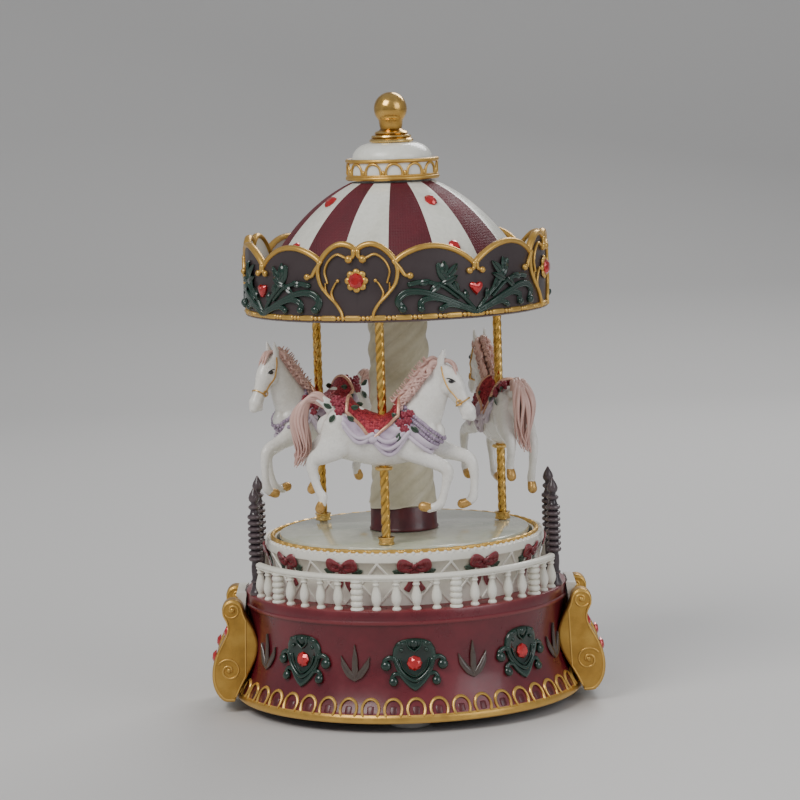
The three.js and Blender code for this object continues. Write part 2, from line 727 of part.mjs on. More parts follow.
// A round hole through anything at each pole.
function poleHoles() {
  const holes = [];
  for (let i = 0; i < HORSE_COUNT; i += 1) {
    const hole = ring(SLIDE_HOLE_R, 0, 0, POLE_TOP_Z, SMALL_SIDES);
    hole.translate(0, -HORSE_CIRCLE_R, 0);
    hole.rotateZ(rad(horseAngle(i)));
    holes.push(hole);
  }
  return holes;
}

function horseAngle(i) {
  return FIRST_HORSE_ANGLE + i * 360 / HORSE_COUNT;
}

function mainShaft() {
  const flangeTop = DISC_BOTTOM_Z - REST_GAP;
  const outline = [
    [0, BARREL_Z + BARREL_HEIGHT + REST_GAP],
    [SHAFT_R, BARREL_Z + BARREL_HEIGHT + REST_GAP],
    [SHAFT_R, flangeTop - 3],
    [SHAFT_FLANGE_R, flangeTop - 3],
    [SHAFT_FLANGE_R, flangeTop],
    [SHAFT_R, flangeTop],
    [SHAFT_R, DISC_TOP_Z + COLLAR_HEIGHT - 1],
    [0, DISC_TOP_Z + COLLAR_HEIGHT - 1],
  ];
  return turned(outline, SMALL_SIDES);
}

const COLUMN_Z = DISC_TOP_Z + COLLAR_HEIGHT + REST_GAP;
const COLUMN_TOP_Z = CEILING_Z - REST_GAP;
const SEAT_R = SHAFT_R + REST_GAP;
add('main_shaft', mainShaft(), 'steel');
const discBlank = ring(DISC_R, SEAT_R, DISC_BOTTOM_Z, DISC_TOP_Z, WIDE_SIDES);
add('turntable_disc', cut(discBlank, poleHoles()), 'marble');
const collarFoot = DISC_TOP_Z + REST_GAP;
const collarTop = DISC_TOP_Z + COLLAR_HEIGHT;
add('column_collar', ring(COLLAR_R, SEAT_R, collarFoot, collarTop, MIDDLE_SIDES), 'dark_red');
const columnOutline = [
  [0, COLUMN_Z],
  [COLUMN_FOOT_R, COLUMN_Z],
  [COLUMN_TOP_R, COLUMN_TOP_Z],
  [0, COLUMN_TOP_Z],
];
add('centre_column', turned(columnOutline, MIDDLE_SIDES), 'cream');
for (let i = 0; i < HORSE_COUNT; i += 1) {
  const foot = DISC_TOP_Z + REST_GAP;
  const cup = ring(CUP_R, SLIDE_HOLE_R, foot, foot + CUP_HEIGHT, SMALL_SIDES);
  add(`pole_cup_${i + 1}`, cup, 'brass', horseAngle(i), [0, -HORSE_CIRCLE_R, 0]);
}

// ---- Canopy ----------------------------------------------------------------------------------

// Height of the scalloped valance at an angle: per repeat one heart of two lobes and
// one leaf panel of two lobes, each lobe an arched curve between its two notches.
function scallop(degrees) {
  const period = 360 / REPEATS;
  const fromHeart = ((degrees - HEART_ANGLE) % period + 1.5 * period) % period - period / 2;
  const away = Math.abs(fromHeart);
  const inHeart = away < HEART_HALF;
  const width = inHeart ? HEART_HALF : LEAF_HALF;
  const along = inHeart ? away / width : (away - HEART_HALF) / width;
  const [from, to] = inHeart ? [HEART_NOTCH, PANEL_NOTCH] : [PANEL_NOTCH, LEAF_NOTCH];
  const peak = inHeart ? HEART_HEIGHT : LEAF_HEIGHT;
  const chord = from + (to - from) * along;
  return CANOPY_Z + chord + (peak - (from + to) / 2) * Math.sin(Math.PI * along) ** 0.7;
}

function domeShell() {
  const footZ = CEILING_Z + CEILING_THICKNESS + REST_GAP;
  const rise = DOME_TOP_Z - footZ;
  const spread = DOME_FOOT_R - DOME_TOP_R;
  const curve = new THREE.CubicBezierCurve(
    new THREE.Vector2(DOME_FOOT_R, footZ),
    new THREE.Vector2(DOME_FOOT_R - spread * 0.09, footZ + rise * 0.36),
    new THREE.Vector2(DOME_TOP_R + spread * 0.51, DOME_TOP_Z - rise * 0.18),
    new THREE.Vector2(DOME_TOP_R, DOME_TOP_Z),
  );
  const steps = 6;
  const outside = curve.getPoints(steps);
  const inside = outside.map((p, i) => {
    const t = curve.getTangent(i / steps);
    return [p.x - DOME_WALL * t.y, p.y + DOME_WALL * t.x];
  });
  inside[0] = [DOME_FOOT_R - DOME_WALL, footZ];
  const outline = [...outside.map((p) => [p.x, p.y]), ...inside.reverse()];
  outline.push(outline[0]);
  return turned(outline, WIDE_SIDES);
}

function crownCap() {
  const coreR = CROWN_R - CROWN_WALL - REST_GAP - 1;
  const seatZ = CROWN_Z + CROWN_HEIGHT - 1;
  const dome = new THREE.QuadraticBezierCurve(
    new THREE.Vector2(CAP_R, seatZ),
    new THREE.Vector2(CAP_R - 1, seatZ + CAP_HEIGHT),
    new THREE.Vector2(CAP_FLAT_R, seatZ + CAP_HEIGHT),
  );
  const outline = [[0, CROWN_Z], [coreR, CROWN_Z], [coreR, seatZ]];
  outline.push(...dome.getPoints(4).map((p) => [p.x, p.y]), [0, seatZ + CAP_HEIGHT]);
  return turned(outline, MIDDLE_SIDES);
}

function finial() {
  const foot = CROWN_Z + CROWN_HEIGHT - 1 + CAP_HEIGHT + REST_GAP;
  const ballZ = foot + FINIAL_HEIGHT - FINIAL_BALL_R;
  const stepZ = foot + FINIAL_BASE_HEIGHT / 2;
  const outline = [
    [0, foot],
    [FINIAL_BASE_R, foot],
    [FINIAL_BASE_R, stepZ],
    [FINIAL_BASE_R - 1.2, stepZ],
    [FINIAL_BASE_R - 1.2, foot + FINIAL_BASE_HEIGHT],
    [FINIAL_NECK_R, foot + FINIAL_BASE_HEIGHT + 1.5],
  ];
  const neck = Math.asin(FINIAL_NECK_R / FINIAL_BALL_R);
  const steps = 7;
  for (let i = 0; i < steps; i += 1) {
    const a = neck + (Math.PI - neck) * i / steps;
    outline.push([FINIAL_BALL_R * Math.sin(a), ballZ - FINIAL_BALL_R * Math.cos(a)]);
  }
  outline.push([0, ballZ + FINIAL_BALL_R]);
  return turned(outline, SMALL_SIDES);
}

const CEILING_R = CANOPY_R - VALANCE_WALL - REST_GAP;
const ceiling = ring(CEILING_R, 0, CEILING_Z, CEILING_Z + CEILING_THICKNESS, WIDE_SIDES);
add('canopy_ceiling', cut(ceiling, poleHoles()), 'cream');
add('valance', crownedRing(CANOPY_R, CANOPY_R - VALANCE_WALL, CANOPY_Z, scallop, 2 * WIDE_SIDES), 'plum');
add('dome', domeShell(), 'red');
const crownTop = CROWN_Z + CROWN_HEIGHT;
add('crown_ring', ring(CROWN_R, CROWN_R - CROWN_WALL, CROWN_Z, crownTop, MIDDLE_SIDES), 'gold');
add('crown_cap', crownCap(), 'cream');
add('finial', finial(), 'brass');

// ---- Horses -------------------------------------------------------------------------------------
// A horse is made with its pole on Z, its nose towards +X and its outer side towards -Y.

// A closed limb through points, each [x, y, z, half width along the bend, half width across].
function limb(points, sides = LIMB_SIDES) {
  const centres = points.map(([x, y, z]) => new THREE.Vector3(x, y, z));
  const positions = [];
  const index = [];
  const last = points.length - 1;
  centres.forEach((centre, i) => {
    const ahead = centres[Math.min(i + 1, last)].clone().sub(centres[Math.max(i - 1, 0)]).normalize();
    const across = new THREE.Vector3(0, 1, 0);
    const bend = new THREE.Vector3().crossVectors(across, ahead).normalize();
    for (let k = 0; k < sides; k += 1) {
      const turn = 2 * Math.PI * k / sides;
      const spot = centre.clone();
      spot.addScaledVector(bend, points[i][3] * Math.cos(turn));
      spot.addScaledVector(across, points[i][4] * Math.sin(turn));
      positions.push(spot.x, spot.y, spot.z);
    }
  });
  for (let i = 0; i < last; i += 1) {
    for (let k = 0; k < sides; k += 1) {
      const k2 = (k + 1) % sides;
      const [a, b, c, d] = [i * sides + k, i * sides + k2, (i + 1) * sides + k2, (i + 1) * sides + k];
      index.push(a, b, c, a, c, d);
    }
  }
  for (let k = 1; k < sides - 1; k += 1) {
    index.push(0, k + 1, k);
    index.push(last * sides, last * sides + k, last * sides + k + 1);
  }
  const geometry = new THREE.BufferGeometry();
  geometry.setAttribute('position', new THREE.Float32BufferAttribute(positions, 3));
  geometry.setIndex(index);
  return geometry;
}

function horse(turn) {
  const limbs = [NEAR_FORELEG, FAR_FORELEG, NEAR_HIND_LEG, FAR_HIND_LEG, TAIL].map((rows) => limb(rows));
  const trunk = limb(TRUNK, TRUNK_SIDES);
  const body = joined([trunk, limb(NECK, HEAD_SIDES), limb(HEAD, HEAD_SIDES), limb(EARS, EAR_SIDES), ...limbs]);
  const size = HORSE_LENGTH / HORSE_PATTERN;
  body.scale(size, size, size);
  body.rotateZ(rad(turn));
  body.translate(0, 0, GIRTH_Z);
  return cut(body, [ring(POLE_R + REST_GAP, 0, 0, POLE_TOP_Z, SMALL_SIDES)]);
}

for (let i = 0; i < HORSE_COUNT; i += 1) {
  const phase = CAM_WAVES * rad(i * 360 / HORSE_COUNT);
  const drop = GALLOP * (1 - Math.cos(phase));
  const angle = horseAngle(i);
  const place = [0, -HORSE_CIRCLE_R, -drop];
  const poleFoot = FOLLOWER_TOP_Z + REST_GAP;
  const washerTop = GIRTH_Z - REST_GAP;
  const washer = ring(WASHER_R, POLE_R + REST_GAP, washerTop - WASHER_HEIGHT, washerTop, SMALL_SIDES);
  const follower = ring(FOLLOWER_R, 0, FOLLOWER_TOP_Z - FOLLOWER_HEIGHT, FOLLOWER_TOP_Z, ROD_SIDES);
  add(`horse_${i + 1}`, horse(HORSE_TURNS[i]), 'ivory', angle, place);
  add(`twisted_pole_${i + 1}`, ring(POLE_R, 0, poleFoot, POLE_TOP_Z, SMALL_SIDES), 'brass', angle, place);
  add(`belly_washer_${i + 1}`, washer, 'brass', angle, place);
  add(`cam_follower_${i + 1}`, follower, 'black', angle, place);
}

export default object;
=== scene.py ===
"""Looks of a carousel music box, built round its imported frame, piece by piece from the table up."""
import math

import bmesh
import bpy
import numpy as np
from mathutils import Matrix, Vector
from mathutils.bvhtree import BVHTree


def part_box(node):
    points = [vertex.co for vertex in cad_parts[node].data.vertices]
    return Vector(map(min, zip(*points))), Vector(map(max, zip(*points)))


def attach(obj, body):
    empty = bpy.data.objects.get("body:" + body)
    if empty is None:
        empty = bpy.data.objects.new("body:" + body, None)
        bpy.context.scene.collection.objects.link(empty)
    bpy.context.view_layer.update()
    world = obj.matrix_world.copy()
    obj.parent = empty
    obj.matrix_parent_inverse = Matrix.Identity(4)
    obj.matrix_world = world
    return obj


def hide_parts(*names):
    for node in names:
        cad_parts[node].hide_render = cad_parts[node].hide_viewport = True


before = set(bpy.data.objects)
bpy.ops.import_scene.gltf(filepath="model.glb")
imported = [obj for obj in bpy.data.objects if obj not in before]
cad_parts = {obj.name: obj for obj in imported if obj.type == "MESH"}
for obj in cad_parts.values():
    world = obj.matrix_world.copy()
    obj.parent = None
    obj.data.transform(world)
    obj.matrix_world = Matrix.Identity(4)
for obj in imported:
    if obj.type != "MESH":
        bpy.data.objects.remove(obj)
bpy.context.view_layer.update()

# ---- Table, lamp light and camera --------------------------------------------------------
# The figurine stands on a pale table top that curves up behind it, under large soft lamps.
# The camera is a long lens a little above the canopy's foot, tipped by a couple of degrees.

MM = 0.001
CAMERA_DISTANCE = 1.4
CAMERA_HEIGHT = 0.295
AIM_HEIGHT = 0.138
CAMERA_TIP = math.radians(1.9)
LENS = 138.6


def studio_camera():
    data = bpy.data.cameras.new("camera")
    data.lens = LENS
    data.sensor_width = 36
    camera = bpy.data.objects.new("camera", data)
    bpy.context.scene.collection.objects.link(camera)
    ahead = Vector((0, CAMERA_DISTANCE, AIM_HEIGHT - CAMERA_HEIGHT)).normalized()
    right = ahead.cross(Vector((0, 0, 1))).normalized()
    up = right.cross(ahead)
    tipped_right = right * math.cos(CAMERA_TIP) - up * math.sin(CAMERA_TIP)
    tipped_up = right * math.sin(CAMERA_TIP) + up * math.cos(CAMERA_TIP)
    turn = Matrix((tipped_right, tipped_up, -ahead)).transposed().to_4x4()
    camera.matrix_world = Matrix.Translation((0, -CAMERA_DISTANCE, CAMERA_HEIGHT)) @ turn
    bpy.context.scene.camera = camera


def soft_lamp(name, place, size, power, tint):
    data = bpy.data.lights.new(name, "AREA")
    data.shape = "RECTANGLE"
    data.size = size[0]
    data.size_y = size[1]
    data.energy = power
    data.color = tint
    lamp = bpy.data.objects.new(name, data)
    bpy.context.scene.collection.objects.link(lamp)
    lamp.location = place
    aim = Vector((0, 0, 0.12)) - Vector(place)
    lamp.rotation_euler = aim.to_track_quat("-Z", "Y").to_euler()


def table_top():
    depth = [-3.0, -0.6, 0.0, 1.2, 1.6, 1.9, 2.1, 2.2, 2.2]
    height = [0.0, 0.0, 0.0, 0.0, 0.06, 0.22, 0.5, 0.9, 3.0]
    points = [(x, y, z - 0.0002) for y, z in zip(depth, height) for x in (-3.5, 3.5)]
    faces = [(2 * i, 2 * i + 1, 2 * i + 3, 2 * i + 2) for i in range(len(depth) - 1)]
    mesh = bpy.data.meshes.new("table_top")
    mesh.from_pydata(points, [], faces)
    mesh.polygons.foreach_set("use_smooth", [True] * len(mesh.polygons))
    paint = bpy.data.materials.new("pale_table_paint")
    paint.use_nodes = True
    shader = paint.node_tree.nodes["Principled BSDF"]
    shader.inputs["Base Color"].default_value = (0.62, 0.61, 0.60, 1)
    shader.inputs["Roughness"].default_value = 0.6
    mesh.materials.append(paint)
    top = bpy.data.objects.new("table_top", mesh)
    bpy.context.scene.collection.objects.link(top)


studio_camera()
soft_lamp("key_lamp", (-0.75, -0.9, 1.25), (0.8, 0.8), 16, (1.0, 0.98, 0.95))
soft_lamp("fill_lamp", (1.1, -0.9, 0.7), (0.9, 0.9), 6, (0.97, 0.98, 1.0))
soft_lamp("rim_lamp", (0.5, 1.1, 1.0), (0.8, 0.5), 9, (1.0, 1.0, 1.0))
table_top()
world = bpy.data.worlds.new("room")
world.use_nodes = True
world.node_tree.nodes["Background"].inputs["Color"].default_value = (0.80, 0.82, 0.85, 1)
world.node_tree.nodes["Background"].inputs["Strength"].default_value = 0.45
bpy.context.scene.world = world

# ---- Base body and rim -------------------------------------------------------------------
# The base is cast resin, turned in form: a flared foot, a narrow waist and an upright
# cornice. It is brushed crimson and lacquered, and its foot rim is picked out in gold.

base_low, base_high = (corner * 1000 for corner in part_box("base_shell"))
DECK_Z = base_high.z
RIM_LOW = base_low.z
RIM_R = base_high.x
RIM_TOP = RIM_LOW + 3.7
WAIST_R = 71.5
WAIST_Z = 34.0
CORNICE_R = 74.0
CORNICE_Z = DECK_Z - 6.6
BASE_WALL = 4.0
ROUND = 192


def spot(radius, angle, height):
    """A point at an angle from the front, in degrees towards +X."""
    turn = math.radians(angle)
    return (radius * math.sin(turn), -radius * math.cos(turn), height)


def turned(outline, sides=ROUND, closed=False):
    """A surface turned about the spindle; the outline is (radius, height) from the bottom up."""
    points, faces, rings = [], [], []
    for radius, height in outline:
        count = 1 if radius < 1e-6 else sides
        rings.append(range(len(points), len(points) + count))
        points.extend(spot(radius, 360 * i / sides, height) for i in range(count))
    pairs = list(zip(rings, rings[1:]))
    if closed:
        pairs.append((rings[-1], rings[0]))
    for low, high in pairs:
        for i in range(sides):
            j = (i + 1) % sides
            if len(low) == 1 and len(high) > 1:
                faces.append((low[0], high[j], high[i]))
            elif len(high) == 1 and len(low) > 1:
                faces.append((low[i], low[j], high[0]))
            elif len(low) > 1:
                faces.append((low[i], low[j], high[j], high[i]))
    return points, faces


class Casting:
    """The surfaces of one cast, carved or turned piece, in millimetres, before it is set."""

    def __init__(self):
        self.points = []
        self.faces = []
        self.tints = []

    def add(self, shape, tint=0):
        start = len(self.points)
        self.points.extend(tuple(p) for p in shape[0])
        self.faces.extend(tuple(i + start for i in face) for face in shape[1])
        self.tints.extend([tint] * len(shape[1]))
        return self

    def bend(self, rule):
        self.points = [tuple(rule(*p)) for p in self.points]
        return self

    def set_on(self, name, body, slot, finishes, nodes=(), crease=38):
        mesh = bpy.data.meshes.new(name)
        mesh.from_pydata([(x * MM, y * MM, z * MM) for x, y, z in self.points], [], self.faces)
        finishes = finishes if isinstance(finishes, (list, tuple)) else [finishes]
        for finish in finishes:
            mesh.materials.append(finish)
        mesh.polygons.foreach_set("material_index", self.tints)
        work = bmesh.new()
        work.from_mesh(mesh)
        bmesh.ops.recalc_face_normals(work, faces=work.faces)
        work.to_mesh(mesh)
        work.free()
        mesh.polygons.foreach_set("use_smooth", [crease > 0] * len(mesh.polygons))
        if crease > 0:
            mesh.set_sharp_from_angle(angle=math.radians(crease))
        piece = bpy.data.objects.new(name, mesh)
        bpy.context.scene.collection.objects.link(piece)
        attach(piece, body)
        if nodes:
            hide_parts(*nodes)
        return piece


def finish(name, colours, roughness, grain, relief, metal=0.0, coat=0.0, edge=None, hollow_shade=None):
    """A brushed finish: colours drift over the piece; convex edges take a painted highlight and concave
    places a painted shade.
    grain is the drift's size in millimetres and relief the bump's height in millimetres."""
    material = bpy.data.materials.new(name)
    material.use_nodes = True
    tree = material.node_tree
    shader = tree.nodes["Principled BSDF"]
    place = tree.nodes.new("ShaderNodeTexCoord")

    def noise(size, detail, rough=0.55):
        node = tree.nodes.new("ShaderNodeTexNoise")
        node.inputs["Scale"].default_value = 1000 / size
        node.inputs["Detail"].default_value = detail
        node.inputs["Roughness"].default_value = rough
        tree.links.new(place.outputs["Object"], node.inputs["Vector"])
        return node.outputs["Fac"]

    def ramp(source, stops):
        node = tree.nodes.new("ShaderNodeValToRGB")
        for i, (at, shade) in enumerate(stops):
            stop = node.color_ramp.elements[i] if i < 2 else node.color_ramp.elements.new(at)
            stop.position = at
            stop.color = (*shade, 1) if len(shade) == 3 else shade
        tree.links.new(source, node.inputs["Fac"])
        return node.outputs["Color"]

    def mixed(kind, amount, first, second):
        node = tree.nodes.new("ShaderNodeMix")
        node.data_type = "RGBA"
        node.blend_type = kind
        for socket, value in ((node.inputs["Factor"], amount), (node.inputs["A"], first),
                              (node.inputs["B"], second)):
            if isinstance(value, bpy.types.NodeSocket):
                tree.links.new(value, socket)
            else:
                socket.default_value = value
        return node.outputs["Result"]

    spread = np.linspace(0.32, 0.68, len(colours))
    colour = ramp(noise(grain, 5), list(zip(spread, colours)))
    speck = ramp(noise(grain / 12, 3), [(0.35, (0.86, 0.86, 0.86)), (0.6, (1, 1, 1))])
    colour = mixed("MULTIPLY", 0.55, colour, speck)
    # Pointiness paints light here: convex edges get the edge colour as a painted highlight, concave places
    # get a darker colour as painted shade.
    if edge or hollow_shade:
        shape = tree.nodes.new("ShaderNodeNewGeometry").outputs["Pointiness"]
    if hollow_shade:
        painted_hollow_shade = ramp(shape, [(0.44, (1, 1, 1)), (0.5, (0, 0, 0))])
        colour = mixed("MIX", painted_hollow_shade, colour, (*hollow_shade, 1))
    if edge:
        painted_edge_highlight = ramp(shape, [(0.505, (0, 0, 0)), (0.57, (0.8, 0.8, 0.8))])
        colour = mixed("MIX", painted_edge_highlight, colour, (*edge, 1))
    tree.links.new(colour, shader.inputs["Base Color"])
    low, high = roughness
    gloss = ramp(noise(grain / 2, 4), [(0.35, (low,) * 3), (0.7, (high,) * 3)])
    tree.links.new(gloss, shader.inputs["Roughness"])
    shader.inputs["Metallic"].default_value = metal
    shader.inputs["Coat Weight"].default_value = coat
    shader.inputs["Coat Roughness"].default_value = 0.12
    bump = tree.nodes.new("ShaderNodeBump")
    bump.inputs["Strength"].default_value = 0.6
    bump.inputs["Distance"].default_value = relief * MM
    tree.links.new(noise(grain / 5, 4), bump.inputs["Height"])
    tree.links.new(bump.outputs["Normal"], shader.inputs["Normal"])
    return material


def base_side():
    """Radius against height from the rim to the cornice, the same curve as the frame's."""
    start = (RIM_R - 1, RIM_TOP)
    bend = (72.0, 19.0)
    end = (WAIST_R, WAIST_Z)
    side = []
    for t in np.linspace(0, 1, 18):
        side.append(tuple((1 - t) ** 2 * a + 2 * t * (1 - t) * b + t * t * c for a, b,
                          c in zip(start, bend, end)))
    for t in np.linspace(0.15, 1, 8):
        swell = WAIST_R + (CORNICE_R - 1.2 - WAIST_R) * t ** 1.7
        side.append((swell, WAIST_Z + (CORNICE_Z - WAIST_Z) * t))
    return side


BASE_SIDE = base_side()


def base_radius(height):
    return float(np.interp(height, [z for _, z in BASE_SIDE], [r for r, _ in BASE_SIDE]))


# Edge colours in these finishes are painted highlights on convex edges; the darker colours given for concave
# places are painted shade.
crimson = finish("crimson_lacquer", [(0.088, 0.006, 0.012), (0.128, 0.009, 0.017), (0.165, 0.013, 0.022)],
                 (0.26, 0.44), 26, 0.05, coat=0.25, edge=(0.26, 0.035, 0.040))
gold = finish("antique_gold_paint", [(0.34, 0.165, 0.022), (0.46, 0.240, 0.038), (0.56, 0.320, 0.064)],
              (0.28, 0.44), 7, 0.05, metal=0.7, edge=(0.76, 0.48, 0.13), hollow_shade=(0.09, 0.040, 0.014))

base_outline = [(RIM_R - BASE_WALL, RIM_LOW + 0.1), (RIM_R - 0.8, RIM_LOW + 0.1), *BASE_SIDE,
                (CORNICE_R - 0.4, CORNICE_Z + 0.2), (CORNICE_R, CORNICE_Z + 0.9),
                (CORNICE_R, CORNICE_Z + 1.6),
                (CORNICE_R - 0.45, CORNICE_Z + 2.1), (CORNICE_R - 0.45, DECK_Z - 0.9),
                (CORNICE_R - 0.7, DECK_Z - 0.3),
                (CORNICE_R - 1.3, DECK_Z), (7.0, DECK_Z), (7.0, DECK_Z - BASE_WALL),
                (WAIST_R - BASE_WALL, DECK_Z - BASE_WALL), (WAIST_R - BASE_WALL, WAIST_Z),
                (WAIST_R + 1.5, RIM_TOP + 0.5), (RIM_R - BASE_WALL, RIM_TOP + 0.5)]
base = Casting().add(turned(base_outline, closed=True))
base.set_on("base_body", "base", "crimson_lacquer", crimson, ["base_shell"])

rim_outline = [(RIM_R - 1.6, RIM_LOW), (RIM_R - 0.6, RIM_LOW), (RIM_R, RIM_LOW + 0.6),
               (RIM_R, RIM_TOP - 1.4), (RIM_R - 0.35, RIM_TOP - 0.6), (RIM_R - 0.9, RIM_TOP),
               (RIM_R - 1.6, RIM_TOP)]
Casting().add(turned(rim_outline, closed=True)).set_on("foot_rim", "base", "antique_gold_paint", gold)

# ---- Row of little arches above the rim --------------------------------------------------
# A looped gold braid cast on the foot of the base: forty-eight round-headed arches, each
# with a darker red patch inside painted as shade, brushed gold by hand along its raised wire.

ARCHES = 48
ARCH_WIDTH = 8.9
ARCH_HEIGHT = 6.9
ARCH_WIRE = 0.62


def rod(path, widths, heights=None, up=None, sides=10, loop=False, blunt=False):
    """A rod drawn along a path; widths across it, heights towards up, with rounded ends."""
    path = np.array(path, float)
    count = len(path)
    widths = np.broadcast_to(np.array(widths, float), (count,)).copy()
    heights = widths.copy() if heights is None else np.broadcast_to(np.array(heights, float), (count,)).copy()
    ahead = np.gradient(path, axis=0)
    if loop:
        ahead = np.roll(path, -1, axis=0) - np.roll(path, 1, axis=0)
    ahead /= np.maximum(np.linalg.norm(ahead, axis=1, keepdims=True), 1e-9)
    if not loop and not blunt:
        swell = [0.0, 0.5, 0.87]
        start = [path[0] - ahead[0] * min(widths[0], heights[0]) * math.sqrt(1 - s * s) for s in swell]
        end = [path[-1] + ahead[-1] * min(widths[-1],
                                          heights[-1]) * math.sqrt(1 - s * s) for s in swell[::-1]]
        path = np.vstack([start, path, end])
        ahead = np.vstack([[ahead[0]] * 3, ahead, [ahead[-1]] * 3])
        grow = [max(s, 0.04) for s in swell]
        widths = np.concatenate([[widths[0] * s for s in grow], widths, [widths[-1] * s for s in grow[::-1]]])
        heights = np.concatenate([[heights[0] * s for s in grow], heights,
                                  [heights[-1] * s for s in grow[::-1]]])
    side = None
    turn = np.linspace(0, 2 * math.pi, sides, endpoint=False)
    rings = []
    for centre, along, wide, high in zip(path, ahead, widths, heights):
        if up is not None:
            top = np.array(up, float)
        elif side is None:
            top = np.array((0, 0, 1.0)) if abs(along[2]) < 0.9 else np.array((1.0, 0, 0))
        else:
            top = np.cross(side, along)
        side = np.cross(along, top)
        side /= max(np.linalg.norm(side), 1e-9)
        top = np.cross(side, along)
        rings.append(centre + wide * np.outer(np.cos(turn), side) + high * np.outer(np.sin(turn), top))
    points = np.vstack(rings)
    faces = []
    total = len(rings)
    for i in range(total if loop else total - 1):
        low, high = i * sides, (i + 1) % total * sides
        for k in range(sides):
            k2 = (k + 1) % sides
            faces.append((low + k, low + k2, high + k2, high + k))
    if not loop:
        faces.append(tuple(range(sides))[::-1])
        faces.append(tuple(range((total - 1) * sides, total * sides)))
    return points.tolist(), faces


def flowing(points, steps=6):
    """A smooth path through points, each with any number of coordinates."""
    points = np.array(points, float)
    ends = np.vstack([2 * points[0] - points[1], points, 2 * points[-1] - points[-2]])
    path = []
    for a, b, c, d in zip(ends, ends[1:], ends[2:], ends[3:]):
        for t in np.linspace(0, 1, steps, endpoint=False):
            path.append(0.5 * (2 * b + (c - a) * t + (2 * a - 5 * b + 4 * c - d) * t ** 2
                               + (3 * b - a - 3 * c + d) * t ** 3))
    path.append(points[-1])
    return np.array(path)


def round_base(angle):
    """Bends a flat relief (across, height, out) on to the side of the base."""
    def rule(across, height, out):
        radius = base_radius(height)
        return spot(radius + out, angle + math.degrees(across / radius), height)
    return rule


arch_half = ARCH_WIDTH / 2 - ARCH_WIRE
arch_path = []
for turn in np.linspace(-0.18, 1.18, 19):
    bow = math.pi * turn
    sink = 0.35 * abs(turn - 0.5) ** 2 * (turn < 0 or turn > 1)
    arch_path.append((-arch_half * math.cos(bow),
                      RIM_TOP + 2.4 + (ARCH_HEIGHT - 2.6) * math.sin(bow) - sink, 0.35))
arch_path[0] = (arch_path[0][0], RIM_TOP - 0.1, 0.35)
arch_path[-1] = (arch_path[-1][0], RIM_TOP - 0.1, 0.35)
braid = Casting()
arch_shade_patches = Casting()
for i in range(ARCHES):
    angle = 2.0 + 360 * i / ARCHES
    one = Casting().add(rod(arch_path, ARCH_WIRE, ARCH_WIRE * 1.15, up=(0, 0, 1), sides=8))
    one.bend(round_base(angle))
    braid.add((one.points, one.faces))
    # The darker red patch sunk inside each arch is painted shade for the recess.
    inside = Casting().add(rod([(0, RIM_TOP + 0.6, -0.2), (0, RIM_TOP + 3.2, -0.2)], 1.7, 0.45,
                               up=(0, 0, 1), sides=12))
    inside.bend(round_base(angle))
    arch_shade_patches.add((inside.points, inside.faces))
# Darker crimson for the collar, and as painted shade inside the arches.
dark_crimson = finish("dark_crimson_collar_and_arch_shade", [(0.06, 0.004, 0.008), (0.11, 0.008, 0.012)], (0.3, 0.5), 6,
                      0.03, coat=0.2)
braid.set_on("arch_braid", "base", "antique_gold_paint", gold)
arch_shade_patches.set_on("arch_painted_shade", "base", "crimson_lacquer", dark_crimson)

# ---- Cartouches and tulip sprigs round the base ------------------------------------------
# Shield-shaped cartouches in glossy bottle green, each holding a faceted red glass stone,
# alternate with small dark sprigs. They are cast with the base and painted over.

CARTOUCHE_STEP = 42.0
CARTOUCHE_START = 2.0
CARTOUCHE_Z = 29.5
STONE_R = 3.4


def egg(centre, radii, sides=16, levels=10):
    """A smooth egg with its own three radii."""
    points, faces = turned([(math.sin(math.pi * i / levels), -math.cos(math.pi * i / levels))
                            for i in range(levels + 1)], sides)
    return [tuple(c + r * p for c, r, p in zip(centre, radii, point)) for point in points], faces


def stone(centre, radius, stretch=1.0, height=0.55):
    """A faceted stone lying flat, its table towards the third coordinate."""
    points = []
    levels = ((1.0, 0.0, 0), (1.0, 0.2, 0), (0.80, 0.62, 0.5), (0.5, 1.0, 0))
    for wide, rise, shift in levels:
        for i in range(8):
            turn = math.tau * (i + shift) / 8
            points.append((centre[0] + radius * wide * math.cos(turn),
                           centre[1] + radius * wide * stretch * math.sin(turn),
                           centre[2] + radius * height * rise))
    faces = []
    for i in range(8):
        j = (i + 1) % 8
        faces.append((i, j, 8 + j, 8 + i))
        faces.append((8 + i, 8 + j, 16 + i))
        faces.append((16 + i, 8 + j, 16 + j))
        faces.append((16 + i, 16 + j, 24 + j))
        faces.append((16 + i, 24 + j, 24 + i))
    faces.append(tuple(range(24, 32)))
    faces.append(tuple(range(7, -1, -1)))
    return points, faces


def glass_stone(name, colour):
    """Foil-backed cut glass: deep colour, bright facets."""
    material = finish(name, [tuple(c * 0.6 for c in colour), colour], (0.04, 0.10), 3, 0.002, coat=1.0)
    shader = material.node_tree.nodes["Principled BSDF"]
    shader.inputs["Metallic"].default_value = 0.45
    shader.inputs["Specular IOR Level"].default_value = 0.8
    return material


def shield(rise):
    """The cartouche's outline as (across, height) at a share of its full size."""
    half = [(0, 11.6), (2.6, 11.4), (5.2, 10.9), (7.6, 9.6), (9.1, 7.2), (9.6, 4.0), (9.2, 1.0),
            (8.2, -2.0), (6.6, -5.4), (4.4, -8.2), (2.0, -10.4), (0, -11.6)]
    right = [(x * rise, z * rise) for x, z in half]
    return right + [(-x, z) for x, z in right[-2:0:-1]]


